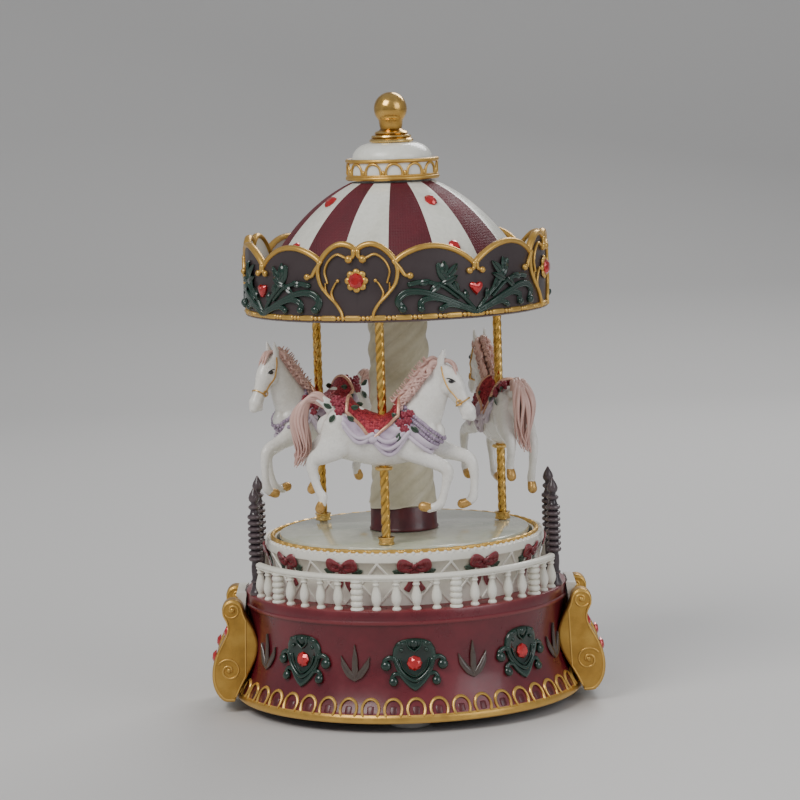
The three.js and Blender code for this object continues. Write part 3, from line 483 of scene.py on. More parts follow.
def dish(outline, levels):
    """A low relief built of shrinking outlines: each level is (share of size, height out)."""
    points, faces = [], []
    count = len(outline)
    for share, out in levels:
        points.extend((x * share, z * share, out) for x, z in outline)
    for i in range(len(levels) - 1):
        for k in range(count):
            k2 = (k + 1) % count
            faces.append((i * count + k, i * count + k2, (i + 1) * count + k2, (i + 1) * count + k))
    last = (len(levels) - 1) * count
    points.append((0, 0, levels[-1][1]))
    for k in range(count):
        faces.append((last + k, last + (k + 1) % count, len(points) - 1))
    return points, faces


def cartouche():
    green = Casting()
    green.add(dish(shield(1.0),
                   [(1.0, -1.0), (1.0, 0.6), (0.96, 1.3), (0.86, 1.7), (0.74, 1.5), (0.66, 0.9), (0.3, 0.8)]))
    bow = flowing([(-8.6, 3.2), (-6.6, -1.6), (-3.4, -5.2), (0, -6.9), (3.4, -5.2), (6.6, -1.6), (8.6, 3.2)])
    green.add(rod([(x, z, 1.5) for x, z in bow], 0.75, 0.8, up=(0, 0, 1)))
    inner = flowing([(-6.2, 2.4), (-5.0, -1.4), (-2.6, -4.0), (0, -5.1), (2.6, -4.0), (5.0, -1.4),
                     (6.2, 2.4)])
    green.add(rod([(x, z, 1.3) for x, z in inner], 0.45, 0.6, up=(0, 0, 1)))
    heart = flowing([(-3.2, 10.6), (-2.6, 8.0), (-0.4, 5.9), (0, 5.6), (0.4, 5.9), (2.6, 8.0), (3.2, 10.6)])
    green.add(rod([(x, z, 1.6) for x, z in heart], 0.45, 0.55, up=(0, 0, 1)))
    green.add(egg((0, 9.2, 1.2), (1.8, 1.9, 1.2)))
    for side in (-1, 1):
        upper = flowing([(side * 7.6, 1.8, 0.9), (side * 10.4, 3.2, 1.0), (side * 12.9, 1.8, 0.9),
                         (side * 12.9, -0.6, 0.9)])
        green.add(rod(upper, 1.05, 1.0, up=(0, 0, 1)))
        green.add(egg((side * 12.4, -0.4, 1.0), (2.3, 2.3, 1.7)))
        lower = flowing([(side * 6.2, -4.2, 0.9), (side * 8.6, -3.9, 1.0), (side * 10.0, -5.4, 0.9)])
        green.add(rod(lower, 0.9, 0.9, up=(0, 0, 1)))
        green.add(egg((side * 9.4, -7.2, 1.0), (2.0, 2.1, 1.6)))
        green.add(egg((side * 5.4, 6.4, 1.5), (0.9, 0.9, 0.7)))
        green.add(egg((side * 5.9, 9.2, 1.1), (1.7, 1.1, 0.9)))
    return green


def sprig():
    leaf = Casting()
    leaf.add(rod(flowing([(0, -6.2, 0.3), (0, -3.0, 0.7), (0, 2.0, 0.9), (0, 8.6, 0.4)]),
                 np.interp(np.linspace(0, 1, 19), [0, 0.35, 0.7, 1], [0.6, 1.5, 1.25, 0.15]), 0.8,
                 up=(0, 0, 1)))
    for side in (-1, 1):
        path = flowing([(0, -6.6, 0.3), (side * 2.6, -4.2, 0.8), (side * 5.0, -0.8, 0.7),
                        (side * 6.6, 3.4, 0.2)])
        leaf.add(rod(path, np.interp(np.linspace(0, 1, 19), [0, 0.3, 0.7, 1], [0.9, 1.6, 1.35, 0.15]), 0.8,
                     up=(0, 0, 1)))
    return leaf


bottle_green = finish("bottle_green_gloss",
                      [(0.002, 0.010, 0.007), (0.004, 0.018, 0.012), (0.007, 0.028, 0.019)],
                      (0.14, 0.28), 6, 0.03, coat=0.5, edge=(0.010, 0.042, 0.028))
sprig_brown = finish("sprig_umber_gloss",
                     [(0.020, 0.012, 0.011), (0.036, 0.024, 0.020), (0.03, 0.034, 0.026)],
                     (0.25, 0.4), 5, 0.03, coat=0.4, edge=(0.11, 0.075, 0.06))
red_glass = glass_stone("red_cut_glass", (0.72, 0.010, 0.012))
greens, sprigs, stones = Casting(), Casting(), Casting()
for face in (0, 180):
    for i in (-1, 0, 1):
        turn_to_face = round_base(CARTOUCHE_START + face + i * CARTOUCHE_STEP)
        one = cartouche().bend(lambda x, z, out: (x, z + CARTOUCHE_Z, out)).bend(turn_to_face)
        greens.add((one.points, one.faces))
        gem = Casting().add(stone((0, 0.6, 0.9), STONE_R)).bend(lambda x, z, out: (x, z + CARTOUCHE_Z, out))
        gem.bend(turn_to_face)
        stones.add((gem.points, gem.faces))
    for i in (-1.5, -0.5, 0.5, 1.5):
        turn_to_face = round_base(CARTOUCHE_START + face + i * CARTOUCHE_STEP)
        one = sprig().bend(lambda x, z, out: (x, z + CARTOUCHE_Z, out)).bend(turn_to_face)
        sprigs.add((one.points, one.faces))
greens.set_on("base_cartouches", "base", "crimson_lacquer", bottle_green)
sprigs.set_on("base_sprigs", "base", "crimson_lacquer", sprig_brown)
stones.set_on("base_stones", "base", "crimson_lacquer", red_glass, crease=0)

# ---- Underside: cover, pads, screws and key ----------------------------------------------
# A moulded black cover closes the base from below, held by three screws and standing on
# four soft pads. The brass key sits in its well. These keep their frame shapes.


def dress(node, material):
    """Gives a frame piece that stays in view its finish."""
    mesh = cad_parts[node].data
    mesh.materials.clear()
    mesh.materials.append(material)


black_plastic = finish("black_moulded_plastic", [(0.012, 0.012, 0.013), (0.022, 0.022, 0.024)],
                       (0.45, 0.6), 9, 0.04)
pad_rubber = finish("clear_grey_rubber", [(0.38, 0.37, 0.35), (0.48, 0.47, 0.45)], (0.5, 0.65), 5, 0.03)
bright_steel = finish("bright_steel", [(0.42, 0.43, 0.45), (0.55, 0.56, 0.58)], (0.22, 0.38), 4, 0.01,
                      metal=1.0)
brass = finish("polished_brass", [(0.72, 0.44, 0.12), (0.82, 0.54, 0.18), (0.88, 0.62, 0.25)],
               (0.16, 0.30), 6, 0.01,
               metal=1.0)
dress("bottom_cover", black_plastic)
dress("cam_ring", black_plastic)
for i in range(4):
    pad_low, pad_high = (corner * 1000 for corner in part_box(f"foot_pad_{i + 1}"))
    centre = (pad_low + pad_high) / 2
    wide = (pad_high.x - pad_low.x) / 2
    pad = Casting().add(turned([(0, 0), (wide - 0.8, 0), (wide - 0.2, 0.3), (wide, 1.0),
                                (wide, pad_high.z - 0.3), (wide - 0.3, pad_high.z), (0, pad_high.z)], 40))
    pad.bend(lambda x, y, z: (x + centre.x, y + centre.y, z))
    pad.set_on(f"rest_pad_{i + 1}", "base", "clear_rubber", pad_rubber, [f"foot_pad_{i + 1}"])
for i in range(3):
    dress(f"cover_screw_{i + 1}", bright_steel)
dress("winding_key", brass)
for node in ("shaft_bush", "movement_bedplate", "pinned_cylinder"):
    dress(node, brass)
for node in ("tuned_comb", "spring_barrel", "main_shaft"):
    dress(node, bright_steel)
dress("governor_fan", black_plastic)

# ---- Railings ----------------------------------------------------------------------------
# Two cream railings stand on the deck, front and back. Slim vase balusters carry a flat
# handrail, with a stout ringed post at every fifth place. Each is cast in one with its rail.

RAIL_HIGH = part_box("front_railing")[1] * 1000
RAIL_R = 70.5
RAIL_HALF_ANGLE = 70.2
RAIL_WIDTH = 3.8
RAIL_THICKNESS = 2.7
BALUSTER_PITCH = 7.2
BALUSTER_PAIRS = 10
BALUSTER_HEIGHT = RAIL_HIGH.z - RAIL_THICKNESS - DECK_Z + 0.4

# Cream with a painted highlight on its edges and a yellowish painted shade in its corners and recesses.
cream = finish("cream_enamel", [(0.66, 0.64, 0.53), (0.74, 0.72, 0.62), (0.79, 0.77, 0.68)], (0.34, 0.48),
               16, 0.05,
               coat=0.15, edge=(0.86, 0.84, 0.77), hollow_shade=(0.42, 0.36, 0.26))


def slim_baluster():
    h = BALUSTER_HEIGHT
    return turned([(0, 0), (1.9, 0), (2.0, 0.5), (1.75, 1.0), (1.25, 1.5), (1.4, 2.2), (1.95, 0.24 * h),
                   (2.25, 0.36 * h), (2.15, 0.48 * h), (1.7, 0.62 * h), (1.25, 0.74 * h),
                   (1.15, 0.79 * h), (1.6, 0.82 * h), (1.7, 0.85 * h), (1.35, 0.88 * h), (1.45, 0.93 * h),
                   (1.9, 0.97 * h), (1.9, h), (0, h)], 18)


def stout_baluster():
    h = BALUSTER_HEIGHT
    outline = [(0, 0), (2.9, 0), (3.0, 0.6), (2.6, 1.1)]
    rings = 4
    for i in range(rings):
        low = 1.3 + (h - 2.6) * i / rings
        step = (h - 2.6) / rings
        outline += [(2.1, low), (2.65, low + 0.22 * step), (2.8, low + 0.5 * step), (2.65, low + 0.78 * step)]
    return turned(outline + [(2.1, h - 1.3), (2.6, h - 0.9), (2.6, h), (0, h)], 22)


def carried(shape, place, angle=0.0):
    """A shape turned about its own upright and moved to a place."""
    c, s = math.cos(math.radians(angle)), math.sin(math.radians(angle))
    points = [(c * x - s * y + place[0], s * x + c * y + place[1], z + place[2]) for x, y, z in shape[0]]
    return points, shape[1]


for end, facing in (("front", 0), ("rear", 180)):
    railing = Casting()
    arc = [spot(RAIL_R, facing + a, RAIL_HIGH.z - RAIL_THICKNESS / 2)
           for a in np.linspace(-RAIL_HALF_ANGLE + 1.2, RAIL_HALF_ANGLE - 1.2, 120)]
    railing.add(rod(arc, RAIL_WIDTH / 2, RAIL_THICKNESS / 2, up=(0, 0, 1), sides=16))
    low_arc = [spot(RAIL_R, facing + a, RAIL_HIGH.z - RAIL_THICKNESS) for a in np.linspace(-68, 68, 120)]
    railing.add(rod(low_arc, RAIL_WIDTH / 2 - 0.5, 0.55, up=(0, 0, 1), sides=8))
    for i in range(BALUSTER_PAIRS):
        for side in (-1, 1):
            angle = facing + side * (i + 0.5) * BALUSTER_PITCH
            shape = stout_baluster() if i % 5 == 2 else slim_baluster()
            railing.add(carried(shape, spot(RAIL_R, angle, DECK_Z), angle))
    railing.set_on(f"{end}_balustrade", "base", "cream_enamel", cream, [f"{end}_railing"], crease=50)

# ---- Newel posts -------------------------------------------------------------------------
# Four tall turned posts flank the stairs, dark brown with a soft gloss. Each has a bell foot,
# a plain shaft, a stack of turned rings and a pointed knob, and is pegged into the deck.

POST_HEIGHT = 49.3


def newel_post():
    outline = [(0, 0), (3.4, 0), (3.5, 0.7), (3.1, 1.6), (2.6, 2.6), (2.2, 4.2), (2.0, 5.2), (2.7, 5.6),
               (2.8, 6.2), (2.2, 6.8), (2.1, 8.0), (2.35, 10.5), (2.3, 13.2), (2.0, 14.6)]
    ring_pitch = 2.75
    for i in range(8):
        low = 15.2 + i * ring_pitch
        outline += [(2.15, low), (3.1, low + 0.45), (3.4, low + 1.15), (3.2, low + 1.85), (2.3, low + 2.45)]
    outline += [(1.9, 37.9), (1.7, 38.8), (2.6, 39.6), (2.8, 40.3), (2.2, 41.0), (1.4, 41.6), (1.5, 42.2),
                (2.3, 43.2), (2.5, 44.4), (2.0, 46.0), (1.1, 47.6), (0.45, 48.8), (0, POST_HEIGHT)]
    return turned(outline, 32)


walnut = finish("dark_walnut_gloss", [(0.022, 0.014, 0.018), (0.040, 0.026, 0.032), (0.055, 0.036, 0.043)],
                (0.26, 0.4),
                8, 0.04, coat=0.3, edge=(0.12, 0.085, 0.09))
for end in ("front", "rear"):
    for hand in "ab":
        node = f"newel_post_{end}_{hand}"
        low, high = (corner * 1000 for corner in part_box(node))
        post = Casting().add(carried(newel_post(), ((low.x + high.x) / 2, (low.y + high.y) / 2, DECK_Z)))
        post.set_on(f"turned_post_{end}_{hand}", "base", "dark_walnut_paint", walnut, [node])

# ---- Scrolled stair cheeks ---------------------------------------------------------------
# A pair of thick scroll-cut cheeks stands each side of a stair: a small volute at deck height
# and a large one at the foot, with two red stones along each sloping edge. Antique gold.

CHEEK_THICKNESS = 9.0
CHEEK_REACH = 89.6
CHEEK_FOOT = 5.0
VOLUTE_X = CHEEK_REACH - 10.5
LOW_VOLUTE = (81.6, 19.5)
HIGH_VOLUTE = (VOLUTE_X, 47.2)


def bezier(a, b, c, d, steps=16):
    t = np.linspace(0, 1, steps, endpoint=False)[:, None]
    a, b, c, d = (np.array(p, float) for p in (a, b, c, d))
    return ((1 - t) ** 3 * a + 3 * t * (1 - t) ** 2 * b + 3 * t * t * (1 - t) * c + t ** 3 * d).tolist()


def cheek_outline():
    top = [(VOLUTE_X + 4.8 * math.cos(a), 47.2 + 4.8 * math.sin(a)) for a in np.linspace(-0.75, 3.05, 26)]
    edge = bezier((CHEEK_REACH - 10, CHEEK_FOOT), (CHEEK_REACH - 8, CHEEK_FOOT - 0.2),
                  (CHEEK_REACH - 6, CHEEK_FOOT), (CHEEK_REACH - 5, CHEEK_FOOT + 0.4), 5)
    edge += bezier((CHEEK_REACH - 5, CHEEK_FOOT + 0.4), (CHEEK_REACH + 0.9, 10), (CHEEK_REACH + 1.4, 20),
                   (CHEEK_REACH - 3.4, 29))
    edge += bezier((CHEEK_REACH - 3.4, 29), (CHEEK_REACH - 6.4, 35), (VOLUTE_X + 0.4, 38), top[0])
    edge += top
    edge += bezier(top[-1], (VOLUTE_X - 5.4, 43), (68, 38), (68, 30))
    edge += bezier((68, 30), (68.6, 22), (76, 14), (CHEEK_REACH - 10, CHEEK_FOOT))
    return edge


def plate(outline, thickness, levels):
    """A thick plate standing on edge; levels are (inset of the outline, share of half thickness)."""
    flat = np.array(outline, float)
    along = np.roll(flat, -1, axis=0) - np.roll(flat, 1, axis=0)
    along /= np.maximum(np.linalg.norm(along, axis=1, keepdims=True), 1e-9)
    inward = np.stack([-along[:, 1], along[:, 0]], axis=1)
    count = len(flat)
    points, faces = [], []
    for inset, share in levels:
        shrunk = flat + inward * inset
        points += [(x, share * thickness / 2, z) for x, z in shrunk]
    for i in range(len(levels) - 1):
        for k in range(count):
            k2 = (k + 1) % count
            faces.append((i * count + k, i * count + k2, (i + 1) * count + k2, (i + 1) * count + k))
    faces.append(tuple(range(count)))
    faces.append(tuple(range((len(levels) - 1) * count, len(levels) * count))[::-1])
    return points, faces


def volute(centre, size, turns, hand, y):
    """A raised spiral on a cheek's face; the ball at its end is added by the caller."""
    path = []
    for t in np.linspace(0, 1, 44):
        turn = hand * (0.6 + turns * math.tau * t)
        reach = size * (1 - 0.82 * t)
        path.append((centre[0] + reach * math.cos(turn), y, centre[1] + reach * math.sin(turn)))
    return rod(path, np.linspace(0.42, 0.62, 44), 0.5, up=(0, 1, 0), sides=8)


def clear_of_base(x, y, z):
    """Pushes a point that would stand inside the base out to its surface."""
    keep = base_radius(z) + 0.25
    if RIM_LOW - 1 < z < RIM_TOP + 0.4:
        keep = RIM_R + 0.2
    if z > CORNICE_Z:
        keep = CORNICE_R + 0.25
    if z > DECK_Z or abs(x) >= math.sqrt(max(keep ** 2 - y ** 2, 0)):
        return x, y, z
    return math.sqrt(keep ** 2 - y ** 2), y, z


ROUNDED = [(1.1, -1), (0.45, -0.96), (0.1, -0.88), (0, -0.75), (0, -0.25), (0, 0.25), (0, 0.75),
           (0.1, 0.88), (0.45, 0.96), (1.1, 1)]
for side, mirror in (("right", 1), ("left", -1)):
    for hand, share in (("a", -0.5), ("b", 0.5)):
        node = f"scroll_bracket_{side}_{hand}"
        low, high = (corner * 1000 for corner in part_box(node))
        middle = mirror * (low.y + high.y) / 2
        cheek = Casting().add(plate(cheek_outline(), CHEEK_THICKNESS, ROUNDED))
        for face in (-1, 1):
            y = face * CHEEK_THICKNESS / 2
            rim = [(x, y, z) for x, z in cheek_outline()[::2]]
            rim = [(VOLUTE_X + (x - VOLUTE_X) * 0.9, y, 26 + (z - 26) * 0.955) for x, y, z in rim if x > 72]
            cheek.add(rod(rim, 0.4, 0.3, up=(0, 1, 0), sides=6))
            cheek.add(volute(LOW_VOLUTE, 5.6, 1.45, 1, y))
            cheek.add(egg((LOW_VOLUTE[0], y, LOW_VOLUTE[1]), (1.25, 0.9, 1.25)))
            cheek.add(volute(HIGH_VOLUTE, 3.7, 1.1, -1, y))
            cheek.add(egg((HIGH_VOLUTE[0], y, HIGH_VOLUTE[1]), (1.2, 0.9, 1.2)))
        cheek.bend(lambda x, y, z: clear_of_base(x, y + middle, z))
        cheek.bend(lambda x, y, z: (mirror * x, mirror * y, z))
        cheek.set_on(f"stair_cheek_{side}_{hand}", "base", "antique_gold_paint", gold, [node], crease=55)
        stones = Casting()
        outline = cheek_outline()
        for height in (37.6, 25.2):
            x, z = min((p for p in outline if p[0] > VOLUTE_X - 1), key=lambda p: abs(p[1] - height))
            gem = Casting().add(stone((0, 0, 0), 3.0))
            lean = math.radians(28 if height > 30 else 8)
            gem.bend(lambda u, v, out: (x - 0.3 + out * math.cos(lean) - v * math.sin(lean), u + middle,
                                        z + v * math.cos(lean) + out * math.sin(lean)))
            gem.bend(lambda gx, gy, gz: (mirror * gx, mirror * gy, gz))
            stones.add((gem.points, gem.faces))
        stones.set_on(f"cheek_stones_{side}_{hand}", "base", "antique_gold_paint", red_glass, crease=0)

# ---- Stairs ------------------------------------------------------------------------------
# Cream stairs climb to the deck between the cheeks, with rounded nosings and a yellowish painted
# shade in their corners. They are cast solid and glued against the base.

TREADS = 4
for side, mirror in (("right", 1), ("left", -1)):
    low, high = (corner * 1000 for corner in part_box(f"entry_stairs_{side}"))
    foot_x = max(abs(low.x), abs(high.x))
    going = (foot_x - CORNICE_R) / TREADS
    rise = (high.z - low.z) / TREADS
    half = (high.y - low.y) / 2
    profile = [(70.0, low.z), (foot_x, low.z)]
    for i in range(TREADS):
        x, z = foot_x - i * going, low.z + (i + 1) * rise
        profile += [(x - 0.35, z - 1.9), (x + 0.25, z - 1.4), (x + 0.35, z - 0.7), (x, z - 0.1),
                    (x - 0.5, z), (x - going + 0.1, z)]
    profile.append((70.0, high.z))
    stairs = Casting().add(plate(profile, 2 * half, [(0, -1), (0, -0.5), (0, 0.5), (0, 1)]))
    stairs.bend(clear_of_base).bend(lambda x, y, z: (mirror * x, mirror * y, z))
    stairs.set_on(f"cream_stairs_{side}", "base", "cream_enamel", cream, [f"entry_stairs_{side}"])

# ---- Lattice drum, bows and beaded lip ---------------------------------------------------
# The fixed drum under the turntable flares at the top and is modelled with crossed ribs, red
# ribbon bows and leaves. A gold bead-and-reel braid runs round its lip, beside the turntable.

drum_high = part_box("lattice_drum")[1] * 1000
DRUM_TOP_R = drum_high.x
DRUM_R = 60.5
DRUM_TOP_Z = drum_high.z
BOWS = 12
BOW_START = 3.5


def drum_radius(height):
    return float(np.interp(height, [DECK_Z, DRUM_TOP_Z - 11, DRUM_TOP_Z - 4.2, DRUM_TOP_Z],
                           [DRUM_R, DRUM_R + 0.5, DRUM_TOP_R - 0.7, DRUM_TOP_R - 0.3]))


def round_drum(angle):
    def rule(across, height, out):
        radius = drum_radius(height)
        return spot(radius + out, angle + math.degrees(across / radius), height)
    return rule


drum_outline = [(DRUM_R - 2.5, DECK_Z + 0.1), (DRUM_R, DECK_Z + 0.1), (DRUM_R + 0.5, DRUM_TOP_Z - 11),
                (DRUM_TOP_R - 0.9, DRUM_TOP_Z - 4.4), (DRUM_TOP_R - 0.1, DRUM_TOP_Z - 3.8),
                (DRUM_TOP_R, DRUM_TOP_Z - 3.0), (DRUM_TOP_R - 0.2, DRUM_TOP_Z - 0.5),
                (DRUM_TOP_R - 0.9, DRUM_TOP_Z), (58.8, DRUM_TOP_Z), (58.6, DRUM_TOP_Z - 4.2),
                (DRUM_R - 2.5, DRUM_TOP_Z - 11)]
drum = Casting().add(turned(drum_outline, closed=True))
for i in range(24):
    for hand in (-1, 1):
        rib = Casting()
        heights = np.linspace(DECK_Z + 0.6, DRUM_TOP_Z - 3.4, 12)
        lean = hand * 17.5 / (heights[-1] - heights[0])
        rib.add(rod([((z - heights[0]) * lean, z, 0.12) for z in heights], 0.55, 0.5, up=(0, 0, 1), sides=6))
        rib.bend(round_drum(BOW_START + 15 * i))
        drum.add((rib.points, rib.faces))
drum.set_on("lattice_wall", "base", "cream_enamel", cream, ["lattice_drum"])


def bead_and_reel(radius, height, repeats, bar_share, bead_r):
    """A braid of short bars and beads round the spindle."""
    braid = Casting()
    step = 360 / repeats
    for i in range(repeats):
        start = i * step
        arc = [spot(radius, start + a, height) for a in np.linspace(0, step * bar_share, 5)]
        braid.add(rod(arc, bead_r * 0.8, bead_r, up=(0, 0, 1), sides=8))
        for share in (bar_share + (1 - bar_share) * 0.36, bar_share + (1 - bar_share) * 0.72):
            braid.add(egg(spot(radius, start + step * share, height), (bead_r * 0.92,) * 3, 8, 6))
    return braid


lip = bead_and_reel(DRUM_TOP_R - 3.4, DRUM_TOP_Z + 0.5, 52, 0.46, 1.15)
pearls = Casting()
for i in range(110):
    pearls.add(egg(spot(DRUM_TOP_R - 0.9, i * 360 / 110, DRUM_TOP_Z - 0.1), (0.95, 0.95, 0.95), 10, 6))
pearls.set_on("drum_pearls", "base", "cream_enamel", cream)
lip.set_on("turntable_braid", "base", "antique_gold_paint", gold)


def bow():
    """A ribbon bow with two full loops, a knot and two cut tails, as a flat relief."""
    knot = Casting()
    for side in (-1, 1):
        for k, (reach, drop) in enumerate(((1.0, 0.0), (0.82, -1.0))):
            path = flowing([(0, 0, 0.7), (side * 2.6 * reach, 1.9 + drop * 0.3, 1.4),
                            (side * 5.8 * reach, 2.6 + drop, 1.0),
                            (side * 6.3 * reach, -0.4 + drop * 0.5, 0.9), (side * 3.2 * reach, -1.7, 1.2),
                            (0, -0.4, 0.7)], 5)
            knot.add(rod(path, np.interp(np.linspace(0, 1, len(path)), [0, 0.3, 0.6, 1],
                                         [0.5, 1.25, 1.15, 0.5]), 0.55,
                         up=(0, 0, 1), sides=8))
        knot.add(dish([(side * 4.2 + 2.3 * math.cos(a),
                        0.5 + 1.6 * math.sin(a)) for a in np.linspace(0, math.tau, 16, endpoint=False)],
                      [(1, 0.1), (1, 0.9), (0.99, 1.1)]))
        tail = flowing([(0, -0.8, 0.7), (side * 1.5, -4.0, 0.9), (side * 1.8, -7.6, 0.5),
                        (side * 3.6, -10.6, 0.5)], 5)
        knot.add(rod(tail, np.linspace(0.8, 1.5, len(tail)), 0.4, up=(0, 0, 1), sides=8))
    knot.add(egg((0, 0, 1.2), (1.3, 1.5, 1.0)))
    return knot


def leaf_blade(length, width, rise=0.5):
    """A small pointed leaf lying along its first coordinate, creased down the middle."""
    points, faces = [], []
    steps = 9
    for i in range(steps):
        t = i / (steps - 1)
        half = width / 2 * math.sin(math.pi * min(t * 0.93 + 0.04, 1)) ** 0.8
        lift = rise * math.sin(math.pi * t)
        points += [(length * t, -half, lift), (length * t, -half * 0.45, lift + rise * 0.5),
                   (length * t, 0, lift + rise * 0.1), (length * t, half * 0.45, lift + rise * 0.5),
                   (length * t, half, lift), (length * t, 0, lift - rise * 0.6)]
    for i in range(steps - 1):
        for k in range(6):
            k2 = (k + 1) % 6
            faces.append((6 * i + k, 6 * i + k2, 6 * i + 6 + k2, 6 * i + 6 + k))
    faces += [tuple(range(6))[::-1], tuple(range(6 * steps - 6, 6 * steps))]
    return points, faces


ribbon_red = finish("ribbon_red_gloss", [(0.080, 0.005, 0.011), (0.135, 0.009, 0.017)], (0.24, 0.38), 4,
                    0.03, coat=0.3,
                    edge=(0.26, 0.035, 0.045))
leaf_green = finish("leaf_green_gloss", [(0.005, 0.016, 0.008), (0.011, 0.030, 0.015)], (0.25, 0.4), 3,
                    0.03, coat=0.2,
                    edge=(0.04, 0.08, 0.045))
bows, leaves = Casting(), Casting()
for i in range(BOWS):
    angle = BOW_START + i * 360 / BOWS
    one = bow().bend(lambda x, z, out: (x, z + DRUM_TOP_Z - 6.0, out)).bend(round_drum(angle))
    bows.add((one.points, one.faces))
    for side in (-1, 1):
        for tilt in (0.45, -0.25):
            leaf = Casting().add(leaf_blade(5.4, 2.8))
            c, s = math.cos(tilt), math.sin(tilt)
            leaf.bend(lambda u, v,
                      out: (side * (4.4 + u * c - v * s), DRUM_TOP_Z - 9.0 - u * s - v * c, out + 0.2))
            leaf.bend(round_drum(angle))
            leaves.add((leaf.points, leaf.faces))
bows.set_on("ribbon_bows", "base", "crimson_lacquer", ribbon_red)
leaves.set_on("bow_leaves", "base", "cream_enamel", leaf_green)

# ---- Turntable, collar and draped column -------------------------------------------------
# The turntable is a cream disc with a pale green marbled gloss. On it stand a crimson collar
# and a cream column wound with a spiral drape, whose hem hangs over the collar in waves.

disc_low, disc_high = (corner * 1000 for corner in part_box("turntable_disc"))
collar_low, collar_high = (corner * 1000 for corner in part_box("column_collar"))
column_low, column_high = (corner * 1000 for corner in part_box("centre_column"))
DISC_R = disc_high.x
marble = finish("marbled_cream_gloss",
                [(0.44, 0.48, 0.36), (0.58, 0.60, 0.47), (0.68, 0.68, 0.56), (0.52, 0.56, 0.43)],
                (0.08, 0.18), 30, 0.012, coat=0.6)
disc = Casting().add(turned([(3.4, disc_low.z), (DISC_R - 0.6, disc_low.z), (DISC_R, disc_low.z + 0.5),
                             (DISC_R, disc_high.z - 0.9), (DISC_R - 0.3, disc_high.z - 0.25),
                             (DISC_R - 1.0, disc_high.z), (3.4, disc_high.z)], closed=True))
disc.set_on("marbled_turntable", "rotor", "marbled_cream", marble, ["turntable_disc"])

collar_r = collar_high.x
collar = Casting().add(turned([(3.4, collar_low.z), (collar_r, collar_low.z),
                               (collar_r + 0.1, collar_low.z + 0.5), (collar_r - 0.5, collar_low.z + 1.4),
                               (collar_r - 0.7, collar_high.z - 0.8), (collar_r - 1.2, collar_high.z),
                               (3.4, collar_high.z)], 96, closed=True))
collar.set_on("crimson_collar", "rotor", "crimson_lacquer", dark_crimson, ["column_collar"])

COLUMN_SIDES = 120
COLUMN_RINGS = 150
column_points, column_faces = [], []
hem_z = column_low.z
for j in range(COLUMN_RINGS + 1):
    t = j / COLUMN_RINGS
    for i in range(COLUMN_SIDES):
        a = math.tau * i / COLUMN_SIDES
        hem = 0.5 * math.sin(3 * a + 0.6) + 0.35 * math.sin(7 * a) - 1.6
        z = hem_z + hem * (1 - t) ** 3 + (column_high.z - hem_z) * t
        z = min(z, column_high.z)
        twist = a * 2 - 5.2 * t * math.tau * 0.55
        fold = 0.72 * abs(math.sin(twist)) ** 0.7 + 0.34 * math.sin(3 * twist + 1.0 + 3
                                                                    * t) + 0.16 * math.sin(5 * twist - 7 * t)
        radius = 13.7 - 1.2 * t + fold + 1.9 * math.exp(-t * 26)
        column_points.append((radius * math.sin(a), -radius * math.cos(a), z))
for j in range(COLUMN_RINGS):
    for i in range(COLUMN_SIDES):
        i2 = (i + 1) % COLUMN_SIDES
        column_faces.append((j * COLUMN_SIDES + i, j * COLUMN_SIDES + i2, (j + 1) * COLUMN_SIDES + i2,
                             (j + 1) * COLUMN_SIDES + i))
column_faces.append(tuple(range(COLUMN_SIDES))[::-1])
column_faces.append(tuple(range(COLUMN_RINGS * COLUMN_SIDES, (COLUMN_RINGS + 1) * COLUMN_SIDES)))
beige = finish("beige_drape", [(0.44, 0.39, 0.26), (0.54, 0.49, 0.35), (0.60, 0.55, 0.41)], (0.4, 0.55),
               18, 0.05, coat=0.1,
               edge=(0.66, 0.61, 0.48), hollow_shade=(0.32, 0.26, 0.15))
drape = Casting().add((column_points, column_faces))
drape.set_on("draped_column", "rotor", "cream_enamel", beige, ["centre_column"])

# ---- Canopy wall: valance ----------------------------------------------------------------
# A plum valance hangs round the canopy, cream inside, its top edge scalloped under a thick
# gold moulding: four hearts of two lobes with four wide leaf panels between them.

CANOPY_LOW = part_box("valance")[0] * 1000
CANOPY_Z = CANOPY_LOW.z
CANOPY_R = 68.2
VALANCE_WALL = 1.5
HEART_ANGLE = -14.5
LEAF_ANGLE = 30.5
HEART_HALF = 14.5
LEAF_HALF = 30.5


def scallop(degrees):
    """Height of the valance above its foot, the same curve as the frame's."""
    away = abs((degrees - HEART_ANGLE + 45) % 90 - 45)
    if away < HEART_HALF:
        along, low, high, peak = away / HEART_HALF, 31, 26, 34
    else:
        along, low, high, peak = (away - HEART_HALF) / LEAF_HALF, 26, 23, 32.5
    return low + (high - low) * along + (peak - (low + high) / 2) * max(math.sin(math.pi * along), 0) ** 0.7


def round_valance(angle):
    def rule(across, height, out):
        return spot(CANOPY_R + out, angle + math.degrees(across / CANOPY_R), CANOPY_Z + height)
    return rule


